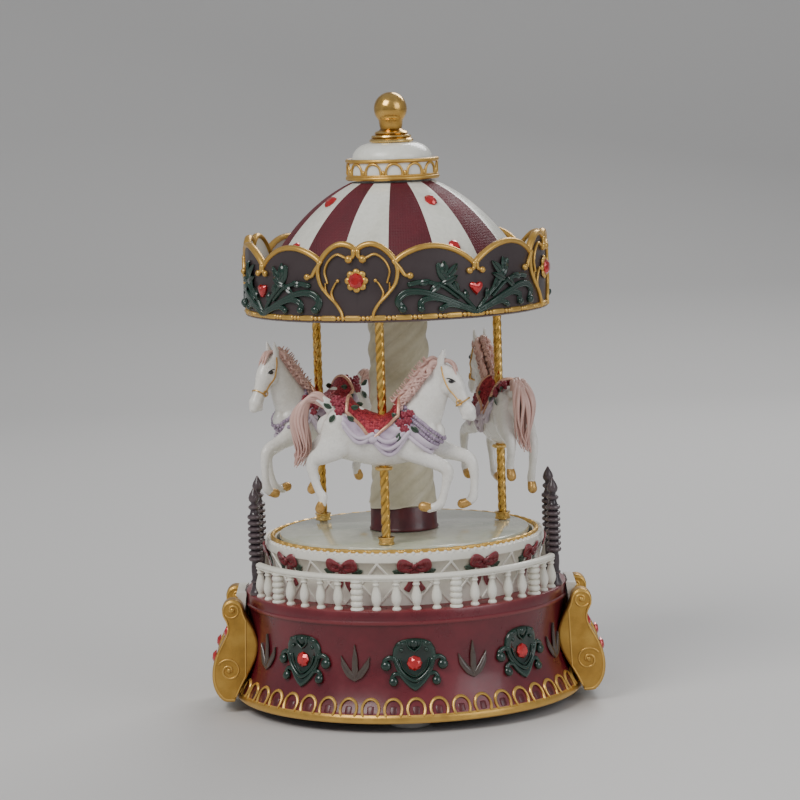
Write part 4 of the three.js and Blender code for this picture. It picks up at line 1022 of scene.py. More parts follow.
plum = finish("plum_enamel", [(0.012, 0.006, 0.008), (0.020, 0.012, 0.014), (0.028, 0.018, 0.020)],
              (0.36, 0.52), 14, 0.04,
              coat=0.1, edge=(0.055, 0.038, 0.040))
WALL_STEPS = 720
wall_points, wall_faces, wall_tints = [], [], []
for i in range(WALL_STEPS):
    angle = HEART_ANGLE + 360 * i / WALL_STEPS
    top = CANOPY_Z + scallop(angle)
    wall_points += [spot(CANOPY_R, angle, CANOPY_Z + 0.2), spot(CANOPY_R, angle, (CANOPY_Z + top) / 2),
                    spot(CANOPY_R, angle, top),
                    spot(CANOPY_R - VALANCE_WALL, angle, top),
                    spot(CANOPY_R - VALANCE_WALL, angle, (CANOPY_Z + top) / 2),
                    spot(CANOPY_R - VALANCE_WALL, angle, CANOPY_Z + 0.2)]
for i in range(WALL_STEPS):
    here, there = 6 * i, 6 * ((i + 1) % WALL_STEPS)
    for k in range(6):
        k2 = (k + 1) % 6
        wall_faces.append((here + k, there + k, there + k2, here + k2))
        wall_tints.append(1 if k in (2, 3, 4) else 0)
valance = Casting().add((wall_points, wall_faces))
valance.tints = wall_tints
valance.set_on("plum_valance", "rotor", "plum_enamel", [plum, cream], ["valance"], crease=40)

# ---- Gold work on the valance ------------------------------------------------------------
# Cast gold mouldings: the scalloped edge with small ball curls where the lobes meet, double
# rims round each heart, and a bead-and-reel braid along the foot over a thin dark lip.

edging = Casting()
top_path = [spot(CANOPY_R - VALANCE_WALL / 2, a,
                 CANOPY_Z + scallop(a) + 0.1) for a in np.linspace(-180, 180, 720, endpoint=False)]
edging.add(rod(top_path, 1.75, 1.35, up=(0, 0, 1), sides=12, loop=True))
lip_path = [spot(CANOPY_R - 0.8, a, CANOPY_Z + 0.7) for a in np.linspace(0, 360, 192, endpoint=False)]


def scroll(path, wide, high, ball, angle):
    """A gold scroll lying on the valance and ending in a ball, with its mirror image."""
    for side in (-1, 1):
        flow = [(side * u, h, 0.55) for u, h in flowing(path, 6)]
        one = Casting().add(rod(flow, np.linspace(wide, wide * 0.7, len(flow)), high, up=(0, 0, 1), sides=8))
        if ball:
            one.add(egg((flow[-1][0], flow[-1][1], 0.9), (ball, ball, ball * 0.9), 14, 8))
        one.bend(round_valance(angle))
        edging.add((one.points, one.faces))


for quarter in range(4):
    heart = HEART_ANGLE + 90 * quarter
    leaf = LEAF_ANGLE + 90 * quarter
    scroll([(17.4, 26), (18.0, 22), (16.9, 17), (13.6, 12.6), (9.8, 8.8), (7.3, 4.8), (6.7, 1.6)], 0.95,
           1.0, 0, heart)
    scroll([(0.9, 31.4), (1.2, 29.3), (3.1, 27.9)], 1.15, 1.1, 1.75, heart)
    scroll([(4.6, 28.6), (8.6, 30.0), (12.6, 27.2), (14.6, 22.6), (13.4, 17.6)], 0.62, 0.8, 0, heart)
    scroll([(10.4, 9.4), (11.6, 13.2), (9.9, 17.0), (8.4, 18.6)], 0.55, 0.75, 0.8, heart)
    scroll([(12.4, 11.6), (14.2, 14.2), (14.4, 17.4)], 0.45, 0.6, 0, heart)
    scroll([(16.6, 26.6), (19.2, 23.4), (21.2, 20.6), (23.4, 20.2)], 1.05, 1.0, 1.5, heart)
    scroll([(0.6, 24.2), (1.1, 21.9), (3.2, 21.0)], 1.0, 1.0, 1.45, leaf)
edging.set_on("valance_gold", "rotor", "antique_gold_paint", gold, crease=50)
foot_braid = bead_and_reel(CANOPY_R + 0.1, CANOPY_Z + 2.1, 38, 0.52, 1.25)
foot_braid.set_on("valance_foot_braid", "rotor", "antique_gold_paint", gold)
dark_lip = Casting().add(rod(lip_path, 1.5, 0.65, up=(0, 0, 1), sides=8, loop=True))
dark_lip.set_on("valance_foot_lip", "rotor", "plum_enamel", walnut)

# ---- Hearts' flowers and leaf panels -----------------------------------------------------
# Each heart holds a red cut stone in an eight-petalled gold flower. Each leaf panel holds
# glossy dark-green acanthus fronds fanning from its foot, curled at the ends, and a red heart.

flowers, valance_stones, fronds, red_hearts = Casting(), Casting(), Casting(), Casting()
FRONDS = [
    ([(0.8, 3.2), (12, 8.2), (24, 12.6), (32.0, 12.8), (35.6, 9.4), (33.8, 5.8)], 1.75, 1.9),
    ([(2.4, 4.6), (13, 8.0), (20.6, 10.0), (25.4, 8.8), (25.8, 5.6)], 1.5, 1.65),
    ([(2.0, 3.0), (8, 5.4), (13.4, 6.6), (16.8, 5.2)], 1.3, 1.4),
    ([(1.2, 4.4), (6.4, 10.0), (12.0, 14.6), (16.4, 19.4), (17.4, 24.2)], 1.45, 0),
    ([(9.0, 9.6), (16.6, 15.2), (24.6, 17.2), (30.6, 16.4)], 1.2, 0),
]
BLADES = [(15.2, 18.6, 0.0, 7.4, 3.6), (14.6, 18.0, -0.72, 8.6, 3.4), (13.0, 16.4, 0.62, 7.6, 3.2),
          (17.0, 15.6, -1.15, 8.8, 3.2), (22.0, 12.4, -0.9, 7.0, 3.0), (8.6, 11.8, 0.45, 6.4, 2.8),
          (27.0, 16.4, -1.35, 6.0, 2.8), (5.0, 8.0, 0.1, 5.0, 2.4)]
for quarter in range(4):
    on_heart = round_valance(HEART_ANGLE + 90 * quarter)
    flower = Casting()
    for i in range(8):
        a = math.tau * i / 8
        flower.add(egg((3.7 * math.cos(a), 18.6 + 3.7 * math.sin(a), 0.7), (1.6, 1.6, 0.95), 12, 6))
    flower.add(egg((0, 18.6, 0.6), (4.1, 4.1, 1.1), 20, 6)).bend(on_heart)
    flowers.add((flower.points, flower.faces))
    gem = Casting().add(stone((0, 18.6, 1.3), 3.5)).bend(on_heart)
    valance_stones.add((gem.points, gem.faces))
    on_leaf = round_valance(LEAF_ANGLE + 90 * quarter)
    for side in (-1, 1):
        for path, wide, ball in FRONDS:
            flow = flowing(path, 6)
            count = len(flow)
            for shift, share, lift in ((0, 1, 0.35), (-0.45, 0.42, 0.95), (0.45, 0.42, 0.95)):
                line = [(side * (u + shift * wide * 0.5), h + shift * wide, lift) for u, h in flow]
                one = Casting().add(rod(line, share * wide * np.linspace(0.65, 1.0, count),
                                        0.95 * share + 0.1, up=(0, 0, 1), sides=8))
                one.bend(on_leaf)
                fronds.add((one.points, one.faces))
            if ball:
                one = Casting().add(egg((side * flow[-1][0], flow[-1][1], 1.0), (ball, ball, ball * 0.85),
                                        14, 8)).bend(on_leaf)
                fronds.add((one.points, one.faces))
        for u0, h0, tilt, length, width in BLADES:
            blade = Casting().add(leaf_blade(length, width, 1.0))
            c, s = math.cos(math.pi / 2 + tilt), math.sin(math.pi / 2 + tilt)
            blade.bend(lambda u, v,
                       out: (side * (u0 - (u * c - v * s)), h0 + u * s + v * c, out + 0.5)).bend(on_leaf)
            fronds.add((blade.points, blade.faces))
    heart_outline = [(3.2 * math.sin(t) ** 3,
                      2.75 * math.cos(t) - 1.05 * math.cos(2 * t) - 0.45 * math.cos(3 * t))
                     for t in np.linspace(0, math.tau, 40, endpoint=False)]
    one = Casting().add(dish(heart_outline, [(1, 0.1), (1, 0.9), (0.8, 1.7), (0.45, 2.0)]))
    one.bend(lambda u, v, out: (u, v + 13.6, out)).bend(on_leaf)
    red_hearts.add((one.points, one.faces))
flowers.set_on("heart_flowers", "rotor", "antique_gold_paint", gold)
valance_stones.set_on("heart_stones", "rotor", "crimson_lacquer", red_glass, crease=0)
fronds.set_on("acanthus_fronds", "rotor", "plum_enamel", bottle_green, crease=50)
red_hearts.set_on("panel_hearts", "rotor", "crimson_lacquer", red_glass, crease=30)

# ---- Striped dome ------------------------------------------------------------------------
# The dome is moulded in one with sixteen stripes, cream enamel and crimson by turns. The crimson
# ones are pricked all over; oval red stones sit on four of the cream ones.

DOME_LOW, DOME_HIGH = (corner * 1000 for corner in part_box("dome"))
DOME_FOOT_R = 64.0
DOME_TOP_R = 19.0
DOME_WALL = 2.6
STRIPE = 22.5
STRIPE_STEPS = 12


def dome_curve(t):
    rise = DOME_HIGH.z - DOME_LOW.z
    spread = DOME_FOOT_R - DOME_TOP_R
    shape = [(DOME_FOOT_R, DOME_LOW.z), (DOME_FOOT_R - spread * 0.09, DOME_LOW.z + rise * 0.36),
             (DOME_TOP_R + spread * 0.51, DOME_HIGH.z - rise * 0.18), (DOME_TOP_R, DOME_HIGH.z)]
    weights = ((1 - t) ** 3, 3 * t * (1 - t) ** 2, 3 * t * t * (1 - t), t ** 3)
    return tuple(sum(w * p[k] for w, p in zip(weights, shape)) for k in (0, 1))


def on_dome(angle, radius):
    """A rule that lays (across, up the slope, out) on the dome at an angle and radius."""
    t = float(np.interp(-radius, [-dome_curve(k / 60)[0] for k in range(61)], [k / 60 for k in range(61)]))
    (r0, z0), (r1, z1) = dome_curve(t), dome_curve(min(t + 0.01, 1))
    slope = math.atan2(z1 - z0, r1 - r0)

    def rule(across, up, out):
        run = r0 + up * math.cos(slope) + out * math.sin(slope)
        x, y, _ = spot(run, angle, 0)
        a = math.radians(angle)
        height = z0 + up * math.sin(slope) - out * math.cos(slope)
        return x + across * math.cos(a), y + across * math.sin(a), height
    return rule


def pricked(material, pitch, depth):
    """Adds a close pattern of small raised dots to a finish."""
    tree = material.node_tree
    cells = tree.nodes.new("ShaderNodeTexVoronoi")
    cells.inputs["Scale"].default_value = 1000 / pitch
    cells.inputs["Randomness"].default_value = 0.25
    place = tree.nodes.new("ShaderNodeTexCoord")
    tree.links.new(place.outputs["Object"], cells.inputs["Vector"])
    dots = tree.nodes.new("ShaderNodeBump")
    dots.invert = True
    dots.inputs["Strength"].default_value = 1.0
    dots.inputs["Distance"].default_value = depth * MM
    tree.links.new(cells.outputs["Distance"], dots.inputs["Height"])
    shader = tree.nodes["Principled BSDF"]
    tree.links.new(shader.inputs["Normal"].links[0].from_socket, dots.inputs["Normal"])
    tree.links.new(dots.outputs["Normal"], shader.inputs["Normal"])
    return material


dome_crimson = pricked(finish("pricked_crimson", [(0.085, 0.007, 0.014), (0.125, 0.011, 0.020)],
                              (0.58, 0.7), 20, 0.04,
                              edge=(0.18, 0.025, 0.032)), 1.15, 0.22)
stripe_cream = finish("stripe_cream_gloss", [(0.70, 0.70, 0.61), (0.78, 0.78, 0.70), (0.82, 0.82, 0.75)],
                      (0.22, 0.36), 22, 0.03,
                      coat=0.3, edge=(0.9, 0.9, 0.85))
dome_rings = [dome_curve(t) for t in np.linspace(0, 1, 34)]
inner_rings = [(r - DOME_WALL * 0.8, z - DOME_WALL * (k / 33)) for k, (r, z) in enumerate(dome_rings)][::-1]
inner_rings[-1] = (DOME_FOOT_R - DOME_WALL, DOME_LOW.z)
around = 16 * STRIPE_STEPS
dome_points, dome_faces, dome_tints = [], [], []
shell = dome_rings + inner_rings
for r, z in shell:
    dome_points += [spot(r, HEART_ANGLE - STRIPE / 2 + 360 * i / around, z) for i in range(around)]
for j in range(len(shell)):
    j2 = (j + 1) % len(shell)
    for i in range(around):
        i2 = (i + 1) % around
        dome_faces.append((j * around + i, j * around + i2, j2 * around + i2, j2 * around + i))
        dome_tints.append(1 if (i // STRIPE_STEPS) % 2 == 1 and j < len(dome_rings) - 1 else 0)
dome = Casting().add((dome_points, dome_faces))
dome.tints = dome_tints
dome.set_on("striped_dome", "rotor", "cream_enamel", [stripe_cream, dome_crimson], ["dome"], crease=60)
dome_stones = Casting()
for quarter in range(4):
    for radius in (51.6, 32.6):
        gem = Casting().add(stone((0, 0, 0.1), 2.9, 1.2)).bend(on_dome(LEAF_ANGLE + 90 * quarter, radius))
        dome_stones.add((gem.points, gem.faces))
dome_stones.set_on("dome_stones", "rotor", "crimson_lacquer", red_glass, crease=0)

# ---- Crown ring, cap and finial ----------------------------------------------------------
# A pierced gold ring of thirteen little arches over a cream band crowns the dome, then a
# smooth cream cap, and a gilded turned knob screwed down through them all.

CROWN_LOW, CROWN_HIGH = (corner * 1000 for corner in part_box("crown_ring"))
CROWN_R = 21.0
CROWN_ARCHES = 13
crown = Casting()
band = turned([(CROWN_R - 2.0, CROWN_LOW.z), (CROWN_R - 1.1, CROWN_LOW.z), (CROWN_R - 0.9, CROWN_HIGH.z),
               (CROWN_R - 2.0, CROWN_HIGH.z)], 96, closed=True)
crown.add(band, 1)
for height, wide in ((CROWN_LOW.z + 0.9, 1.0), (CROWN_LOW.z + 2.1, 0.5), (CROWN_HIGH.z - 0.8, 0.9)):
    hoop = [spot(CROWN_R - 0.5, a, height) for a in np.linspace(0, 360, 96, endpoint=False)]
    crown.add(rod(hoop, wide * 0.9, wide, up=(0, 0, 1), sides=10, loop=True))
for i in range(CROWN_ARCHES):
    middle = 2 + 360 * i / CROWN_ARCHES
    arch = []
    for t in np.linspace(0, math.pi, 15):
        arch.append(spot(CROWN_R - 0.6, middle + 10.6 * math.cos(t),
                         CROWN_LOW.z + 2.6 + 4.9 * math.sin(t) ** 0.8))
    crown.add(rod(arch, 0.55, 0.6, up=(0, 0, 1), sides=8))
    crown.add(egg(spot(CROWN_R - 0.6, middle + 180 / CROWN_ARCHES, CROWN_LOW.z + 3.4), (0.8, 0.8, 1.3), 10,
                  6))
crown.set_on("arched_crown", "rotor", "antique_gold_paint", [gold, stripe_cream], ["crown_ring"], crease=50)

cap_low, cap_high = (corner * 1000 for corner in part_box("crown_cap"))
core_r = CROWN_R - 3.3
cap = Casting().add(turned([(0, cap_low.z), (core_r, cap_low.z), (core_r, CROWN_HIGH.z - 1),
                            (17.9, CROWN_HIGH.z - 0.8), (18.1, CROWN_HIGH.z + 0.6),
                            (17.7, CROWN_HIGH.z + 2.2), (16.4, CROWN_HIGH.z + 4.2),
                            (14.4, CROWN_HIGH.z + 5.8), (12.2, cap_high.z - 0.4), (10.8, cap_high.z),
                            (0, cap_high.z)], 96))
cap.set_on("cream_cap", "rotor", "cream_enamel", stripe_cream, ["crown_cap"], crease=30)

knob_low, knob_high = (corner * 1000 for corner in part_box("finial"))
gilt = finish("polished_gilt", [(0.55, 0.30, 0.06), (0.68, 0.40, 0.10), (0.76, 0.48, 0.15)], (0.14, 0.34),
              7, 0.03, metal=1.0,
              edge=(0.9, 0.66, 0.28), hollow_shade=(0.25, 0.12, 0.02))
ball_r = 7.5
ball_z = knob_high.z - ball_r
knob_outline = [(0, knob_low.z), (9.6, knob_low.z), (10.0, knob_low.z + 0.5), (10.0, knob_low.z + 1.1),
                (9.3, knob_low.z + 1.6), (8.9, knob_low.z + 2.0), (9.2, knob_low.z + 2.4),
                (8.9, knob_low.z + 3.0), (7.6, knob_low.z + 3.3), (7.3, knob_low.z + 3.6),
                (7.6, knob_low.z + 4.1), (7.0, knob_low.z + 4.8), (5.6, knob_low.z + 5.2),
                (4.9, knob_low.z + 6.0), (5.2, knob_low.z + 7.4)]
knob_outline += [(ball_r * math.cos(t),
                  ball_z + ball_r * math.sin(t)) for t in np.linspace(-0.75, math.pi / 2 - 0.06, 22)]
knob = Casting().add(turned(knob_outline + [(0, knob_high.z)], 72))
knob.set_on("gilded_knob", "rotor", "gilt_metal", gilt, ["finial"], crease=35)
dress("canopy_ceiling", cream)

# ---- Twisted poles -----------------------------------------------------------------------
# Each horse slides with its own brass pole, four strands of twisted wire in looks. A turned
# cup on the turntable guides it and a washer is crimped on under the horse's belly.

POLE_R = 2.05
POLE_PITCH = 17.0
# Its darker colour for concave places is painted shade in the grooves of the twist.
twist_brass = finish("twisted_brass", [(0.60, 0.33, 0.06), (0.72, 0.43, 0.10), (0.80, 0.52, 0.16)],
                     (0.12, 0.26), 5, 0.01, metal=1.0,
                     hollow_shade=(0.20, 0.09, 0.01))
for i in (1, 2, 3):
    low, high = (corner * 1000 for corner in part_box(f"twisted_pole_{i}"))
    centre = (low + high) / 2
    heights = np.arange(low.z, high.z, 0.75).tolist() + [high.z]
    rope_points, rope_faces = [], []
    for z in heights:
        for k in range(32):
            a = math.tau * k / 32
            radius = POLE_R - 0.42 + 0.44 * abs(math.cos(2 * (a - math.tau * z / POLE_PITCH))) ** 0.8
            rope_points.append((centre.x + radius * math.cos(a), centre.y + radius * math.sin(a), z))
    for j in range(len(heights) - 1):
        for k in range(32):
            k2 = (k + 1) % 32
            rope_faces.append((j * 32 + k, j * 32 + k2, j * 32 + 32 + k2, j * 32 + 32 + k))
    rope_faces += [tuple(range(32))[::-1], tuple(range(32 * (len(heights) - 1), 32 * len(heights)))]
    rope = Casting().add((rope_points, rope_faces))
    rope.set_on(f"rope_pole_{i}", f"gallop_{i}", "brass", twist_brass, [f"twisted_pole_{i}"], crease=80)
    cup_low, cup_high = (corner * 1000 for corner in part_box(f"pole_cup_{i}"))
    cup = Casting().add(turned([(POLE_R + 0.35, cup_low.z), (3.6, cup_low.z), (3.65, cup_low.z + 0.5),
                                (3.3, cup_low.z + 0.9), (3.3, cup_high.z - 0.9), (3.7, cup_high.z - 0.6),
                                (3.7, cup_high.z), (POLE_R + 0.35, cup_high.z)],
                               36, closed=True)).bend(lambda x, y, z: (x + centre.x, y + centre.y, z))
    cup.set_on(f"turned_cup_{i}", "rotor", "brass", brass, [f"pole_cup_{i}"])
    ring_low, ring_high = (corner * 1000 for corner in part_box(f"belly_washer_{i}"))
    collet = Casting().add(turned([(POLE_R + 0.1, ring_low.z), (3.5, ring_low.z), (4.0, ring_low.z + 0.4),
                                   (4.0, ring_high.z - 0.3), (3.6, ring_high.z),
                                   (POLE_R + 0.1, ring_high.z)], 36, closed=True))
    collet.bend(lambda x, y, z: (x + centre.x, y + centre.y, z))
    collet.set_on(f"crimped_washer_{i}", f"gallop_{i}", "brass", brass, [f"belly_washer_{i}"])
    dress(f"cam_follower_{i}", black_plastic)

# ---- Horses ------------------------------------------------------------------------------
# Three galloping horses, each cast in ivory porcelain-like resin and pinned to its pole. All
# three come from one mould, so the body is modelled once and set in three places.

HAIR_SEED = 5
BODY_ROWS = [(-25.2, 0, 132.6, 5.2, 4.4), (-21.6, 0, 131.4, 11.4, 7.8), (-15.5, 0, 129.9, 12.5, 8.9),
             (-8, 0, 127.0, 11.5, 8.7), (0, 0, 125.2, 10.9, 8.4), (8, 0, 127.2, 11.7, 8.2),
             (15, 0, 128.6, 11.0, 7.4), (21, 0, 129.0, 8.4, 5.8), (24.6, 0, 129.0, 4.6, 3.4)]
LIMB_ROWS = [
    [(13.5, 0, 131.0, 10.8, 6.2), (17.5, 0, 136.6, 9.4, 5.4), (21.2, 0, 143.0, 7.8, 4.5),
     (24.4, 0, 149.6, 6.2, 3.8), (26.9, 0, 155.6, 4.4, 3.1)],
    [(26.6, 0, 157.4, 3.2, 3.0), (29.4, 0, 153.8, 5.0, 3.9), (32.0, 0, 149.8, 5.2, 3.9),
     (34.6, 0, 145.2, 3.9, 3.1), (36.8, 0, 141.2, 3.2, 2.8), (38.6, 0, 138.0, 3.5, 3.2),
     (39.8, 0, 135.9, 2.3, 2.4)],
    [(9.5, -4.4, 125.0, 7.4, 3.8), (15, -4.7, 120.8, 5.0, 3.5), (22, -4.5, 117.0, 3.5, 2.9),
     (27.6, -4.5, 114.2, 3.0, 2.6), (29.2, -4.5, 111.2, 2.7, 2.3), (28.3, -4.5, 106.5, 2.0, 1.8),
     (26.9, -4.5, 101.4, 1.8, 1.7), (25.2, -4.5, 97.6, 2.2, 1.9), (22.2, -4.5, 96.2, 1.9, 1.8),
     (20.4, -4.5, 96.0, 2.2, 2.0)],
    [(17.5, 4.6, 125.5, 7.0, 3.6), (24, 5.4, 121.4, 4.8, 3.3), (31, 5.8, 119.0, 3.3, 2.8),
     (36.2, 5.8, 117.2, 3.0, 2.5), (38.6, 5.8, 114.4, 2.7, 2.3), (39.4, 5.8, 109.0, 2.0, 1.8),
     (39.3, 5.8, 103.6, 1.8, 1.7), (38.6, 5.8, 99.4, 2.2, 1.9), (36.9, 5.8, 97.3, 1.9, 1.8),
     (36.0, 5.8, 96.9, 2.1, 2.0)],
    [(-17.5, -4.8, 130.0, 9.5, 4.2), (-21.5, -5.4, 124.4, 7.4, 4.0), (-26, -5.8, 120.6, 4.8, 3.3),
     (-30.2, -5.8, 118.0, 3.3, 2.6), (-31.2, -5.8, 114.4, 2.7, 2.2), (-30.2, -5.8, 109.4, 2.1, 1.9),
     (-28.6, -5.8, 104.6, 1.9, 1.8), (-27.0, -5.8, 101.6, 2.3, 1.9), (-27.0, -5.8, 99.6, 1.9, 1.8),
     (-27.4, -5.8, 98.4, 2.1, 2.0)],
    [(-18.5, 4.8, 131.0, 9.0, 4.2), (-24.5, 5.4, 125.4, 6.4, 3.8), (-30.2, 5.8, 121.8, 4.2, 3.1),
     (-34.0, 5.8, 119.4, 3.1, 2.5), (-34.6, 5.8, 116.0, 2.6, 2.1), (-33.4, 5.8, 111.8, 2.0, 1.8),
     (-32.2, 5.8, 108.6, 2.2, 1.9), (-32.4, 5.8, 106.8, 1.9, 1.8), (-32.8, 5.8, 105.8, 2.1, 2.0)],
    [(-21, 0, 138.5, 3.4, 3.0), (-25, 0, 142.6, 2.6, 2.4), (-29, 0, 144.6, 2.2, 2.2)],
]
HOOVES = [((21.2, -4.5, 96.1), (16.6, -4.5, 96.9)), ((36.7, 5.8, 97.1), (32.6, 5.8, 96.0)),
          ((-27.3, -5.8, 99.0), (-28.8, -5.8, 95.4)), ((-32.7, 5.8, 106.2), (-34.4, 5.8, 102.4))]


def loft(rows, sides=22, steps=7):
    """A limb through rows of forward, side, height, half depth and half width."""
    flow = flowing(rows, steps)
    return rod(flow[:, :3], flow[:, 3], flow[:, 4], up=(0, 1, 0), sides=sides)


def fused(casting, grain, rounds):
    """Melts overlapping shapes into one smooth skin; grain is the skin's mesh size in mm."""
    mesh = bpy.data.meshes.new("mould")
    mesh.from_pydata([(x * MM, y * MM, z * MM) for x, y, z in casting.points], [], casting.faces)
    mould = bpy.data.objects.new("mould", mesh)
    bpy.context.scene.collection.objects.link(mould)
    melt = mould.modifiers.new("melt", "REMESH")
    melt.mode = "VOXEL"
    melt.voxel_size = grain * MM
    soften = mould.modifiers.new("soften", "SMOOTH")
    soften.factor = 0.5
    soften.iterations = rounds
    skin = bpy.data.meshes.new_from_object(mould.evaluated_get(bpy.context.evaluated_depsgraph_get()))
    points = [tuple(c * 1000 for c in v.co) for v in skin.vertices]
    faces = [tuple(face.vertices) for face in skin.polygons]
    bpy.data.objects.remove(mould)
    bpy.data.meshes.remove(skin)
    return points, faces


horse_body = Casting().add(loft(BODY_ROWS, 32))
for rows in LIMB_ROWS:
    horse_body.add(loft(rows))
for side in (-1, 1):
    horse_body.add(loft([(26.8, side * 1.9, 158.0, 1.5, 1.1), (27.4, side * 2.4, 161.2, 1.8, 1.0),
                         (28.6, side * 2.6, 165.4, 0.6, 0.55)], 14))
    horse_body.add(egg((30.2, side * 2.1, 149.6), (3.4, 2.2, 3.6)))
    horse_body.add(egg((32.2, side * 2.8, 153.2), (1.8, 1.0, 0.8)))
    horse_body.add(egg((39.2, side * 1.9, 139.2), (1.2, 0.9, 1.1)))
    horse_body.add(egg((37.4, side * 1.6, 135.6), (1.7, 1.2, 1.3)))
    horse_body.add(egg((15.5, side * 4.6, 124.5), (6.5, 3.9, 6.0)))
    horse_body.add(egg((20.6, side * 2.9, 129.0), (4.6, 3.4, 5.6)))
    horse_body.add(egg((-18.5, side * 4.2, 133.0), (6.6, 4.4, 8.0)))
horse_body = fused(horse_body, 0.55, 5)


def back(forward, turn, lift=0.0):
    """A point on the horse's barrel at a forward place, turned from the spine, lifted off it."""
    rows = flowing(BODY_ROWS, 7)
    middle, deep, wide = (float(np.interp(forward, rows[:, 0], rows[:, k])) for k in (2, 3, 4))
    a = math.radians(turn)
    return forward, (wide + lift) * math.sin(a), middle + (deep + lift) * math.cos(a)


skin = BVHTree.FromPolygons(horse_body[0], horse_body[1])


def laid(points, lift):
    """Lays points on the horse's skin, lifted off it by the given height."""
    out = []
    for point in points:
        place, normal, _, _ = skin.find_nearest(Vector(point))
        out.append(tuple(place + normal * lift))
    return out


def around_chest(shift, count, lift):
    """Points round the base of the neck on the skin; shift moves the loop towards the head."""
    lean, across, ahead = Vector((0.76, 0, -0.65)), Vector((0, 1, 0)), Vector((0.65, 0, 0.76))
    centre = Vector((17.5, 0, 131.5)) + ahead * shift
    out = []
    for i in range(count):
        a = math.tau * i / count
        aim = lean * math.cos(a) + across * math.sin(a)
        place, normal, _, _ = skin.ray_cast(centre, aim, 13.0)
        if place is not None:
            out.append(tuple(place + normal * lift))
    return out


def cloth(edge_turns, forwards, lift, thick, across=40):
    """A cloth over the horse's back: edge_turns gives its two edges at each forward place."""
    top, under = [], []
    for x, (first, last) in zip(forwards, edge_turns):
        for t in np.linspace(0, 1, across):
            turn = first + (last - first) * t
            rise = lift(x, turn)
            top.append(back(x, turn, rise))
            under.append(back(x, turn, rise - thick))
    count = len(top)
    points = top + under
    faces = []
    rows = len(forwards)
    for i in range(rows - 1):
        for k in range(across - 1):
            a, b, c, d = i * across + k, i * across + k + 1, (i + 1) * across + k + 1, (i + 1) * across + k
            faces += [(a, b, c, d), (a + count, d + count, c + count, b + count)]
    border = [k for k in range(across)] + [i * across + across - 1 for i in range(1, rows)]
    border += [(rows - 1) * across + k for k in range(across - 2, -1,
                                                      -1)] + [i * across for i in range(rows - 2, 0, -1)]
    for a, b in zip(border, border[1:] + border[:1]):
        faces.append((a, a + count, b + count, b))
    return (points, faces), [top[k] for k in border]


# Harness: a crimson saddle with a padded rim, a lavender sash and a collar of beads.
saddle_x = np.linspace(-14.6, 8.4, 30)
saddle_turn = [46 + 14 * math.sin(math.pi * (x + 14.6) / 23) + 20 * math.exp(-((x + 3.6) / 3.4) ** 2)
               for x in saddle_x]


def saddle_lift(x, turn):
    crown = max(math.cos(math.radians(turn)), 0) ** 3
    return 0.9 + crown * (5.2 * math.exp(-((x - 7.6) / 2.6) ** 2) + 2.2
                          * math.exp(-((x + 14.6) / 2.6) ** 2) + 0.6)


saddle_shape, saddle_edge = cloth([(-t, t) for t in saddle_turn], saddle_x, saddle_lift, 1.0)
saddle = Casting().add(saddle_shape)
piping = Casting().add(rod(saddle_edge, 0.8, 0.8, sides=8, loop=True))
sash, beads = Casting(), Casting()
sash_x = np.linspace(-16.5, 13.0, 44)
for side in (-1, 1):
    def sash_lift(x, turn):
        t = (abs(turn) - 50) / 62
        return 0.7 + 0.28 * math.sin(x * 0.5 + 9 * t) + 0.22 * math.sin(x * 0.9 - 14 * t + side)

    turns = [(side * 52,
              side * float(np.interp(x, [-16.5, -9, -3, 3, 8, 13],
                                     [80, 98, 92, 122, 118, 92]))) for x in sash_x]
    sash_shape = cloth(turns, sash_x, sash_lift, 0.9, 30)[0]
    sash.add(sash_shape)
    for start, end, top, sag, wide in ((-16, -3, 70, 86, 1.5), (-15, -4, 78, 96, 1.1),
                                       (-3, 13, 80, 104, 1.5), (-2, 12, 86, 118, 1.1),
                                       (-2, 13, 72, 90, 1.0)):
        swag = [back(start + (end - start) * u, side * (top + (sag - top) * math.sin(math.pi * u)),
                     0.9) for u in np.linspace(0, 1, 14)]
        sash.add(rod(swag, wide * np.sin(np.pi * np.linspace(0.12, 0.88, 14)) ** 0.5, 1.0, sides=10))
    knot_at = back(-2.8, side * 82, 1.5)
    sash.add(egg(knot_at, (1.9, 1.2, 1.6)))
sash.add(rod(around_chest(-3.4, 48, 0.4), 1.6, 0.9, sides=10, loop=True))
sash.add(rod(around_chest(-5.4, 48, 0.5), 0.9, 0.8, sides=8, loop=True))
for shift in (-1.2, 0.7, 2.6):
    for centre in around_chest(shift, 40, 0.35):
        beads.add(egg(centre, (0.95, 0.95, 0.95), 10, 6))

# Hair: forelock, mane and tail in wavy locks, each lock swept and tapered.
hair = Casting()
locks = np.random.default_rng(HAIR_SEED)


def lock(path, thick, tip=0.25, wave=0.5):
    flow = flowing(path, 6)
    t = np.linspace(0, 1, len(flow))
    sway = wave * np.sin(t * 9 + locks.uniform(0, 6))
    flow = flow + np.stack([sway * 0.4, sway, sway * 0.3], axis=1)
    hair.add(rod(flow, thick * (0.55 + 0.45 * np.sin(np.pi * np.minimum(t * 1.2,
                                                                        1))) * (1 - t * (1 - tip)), sides=8))


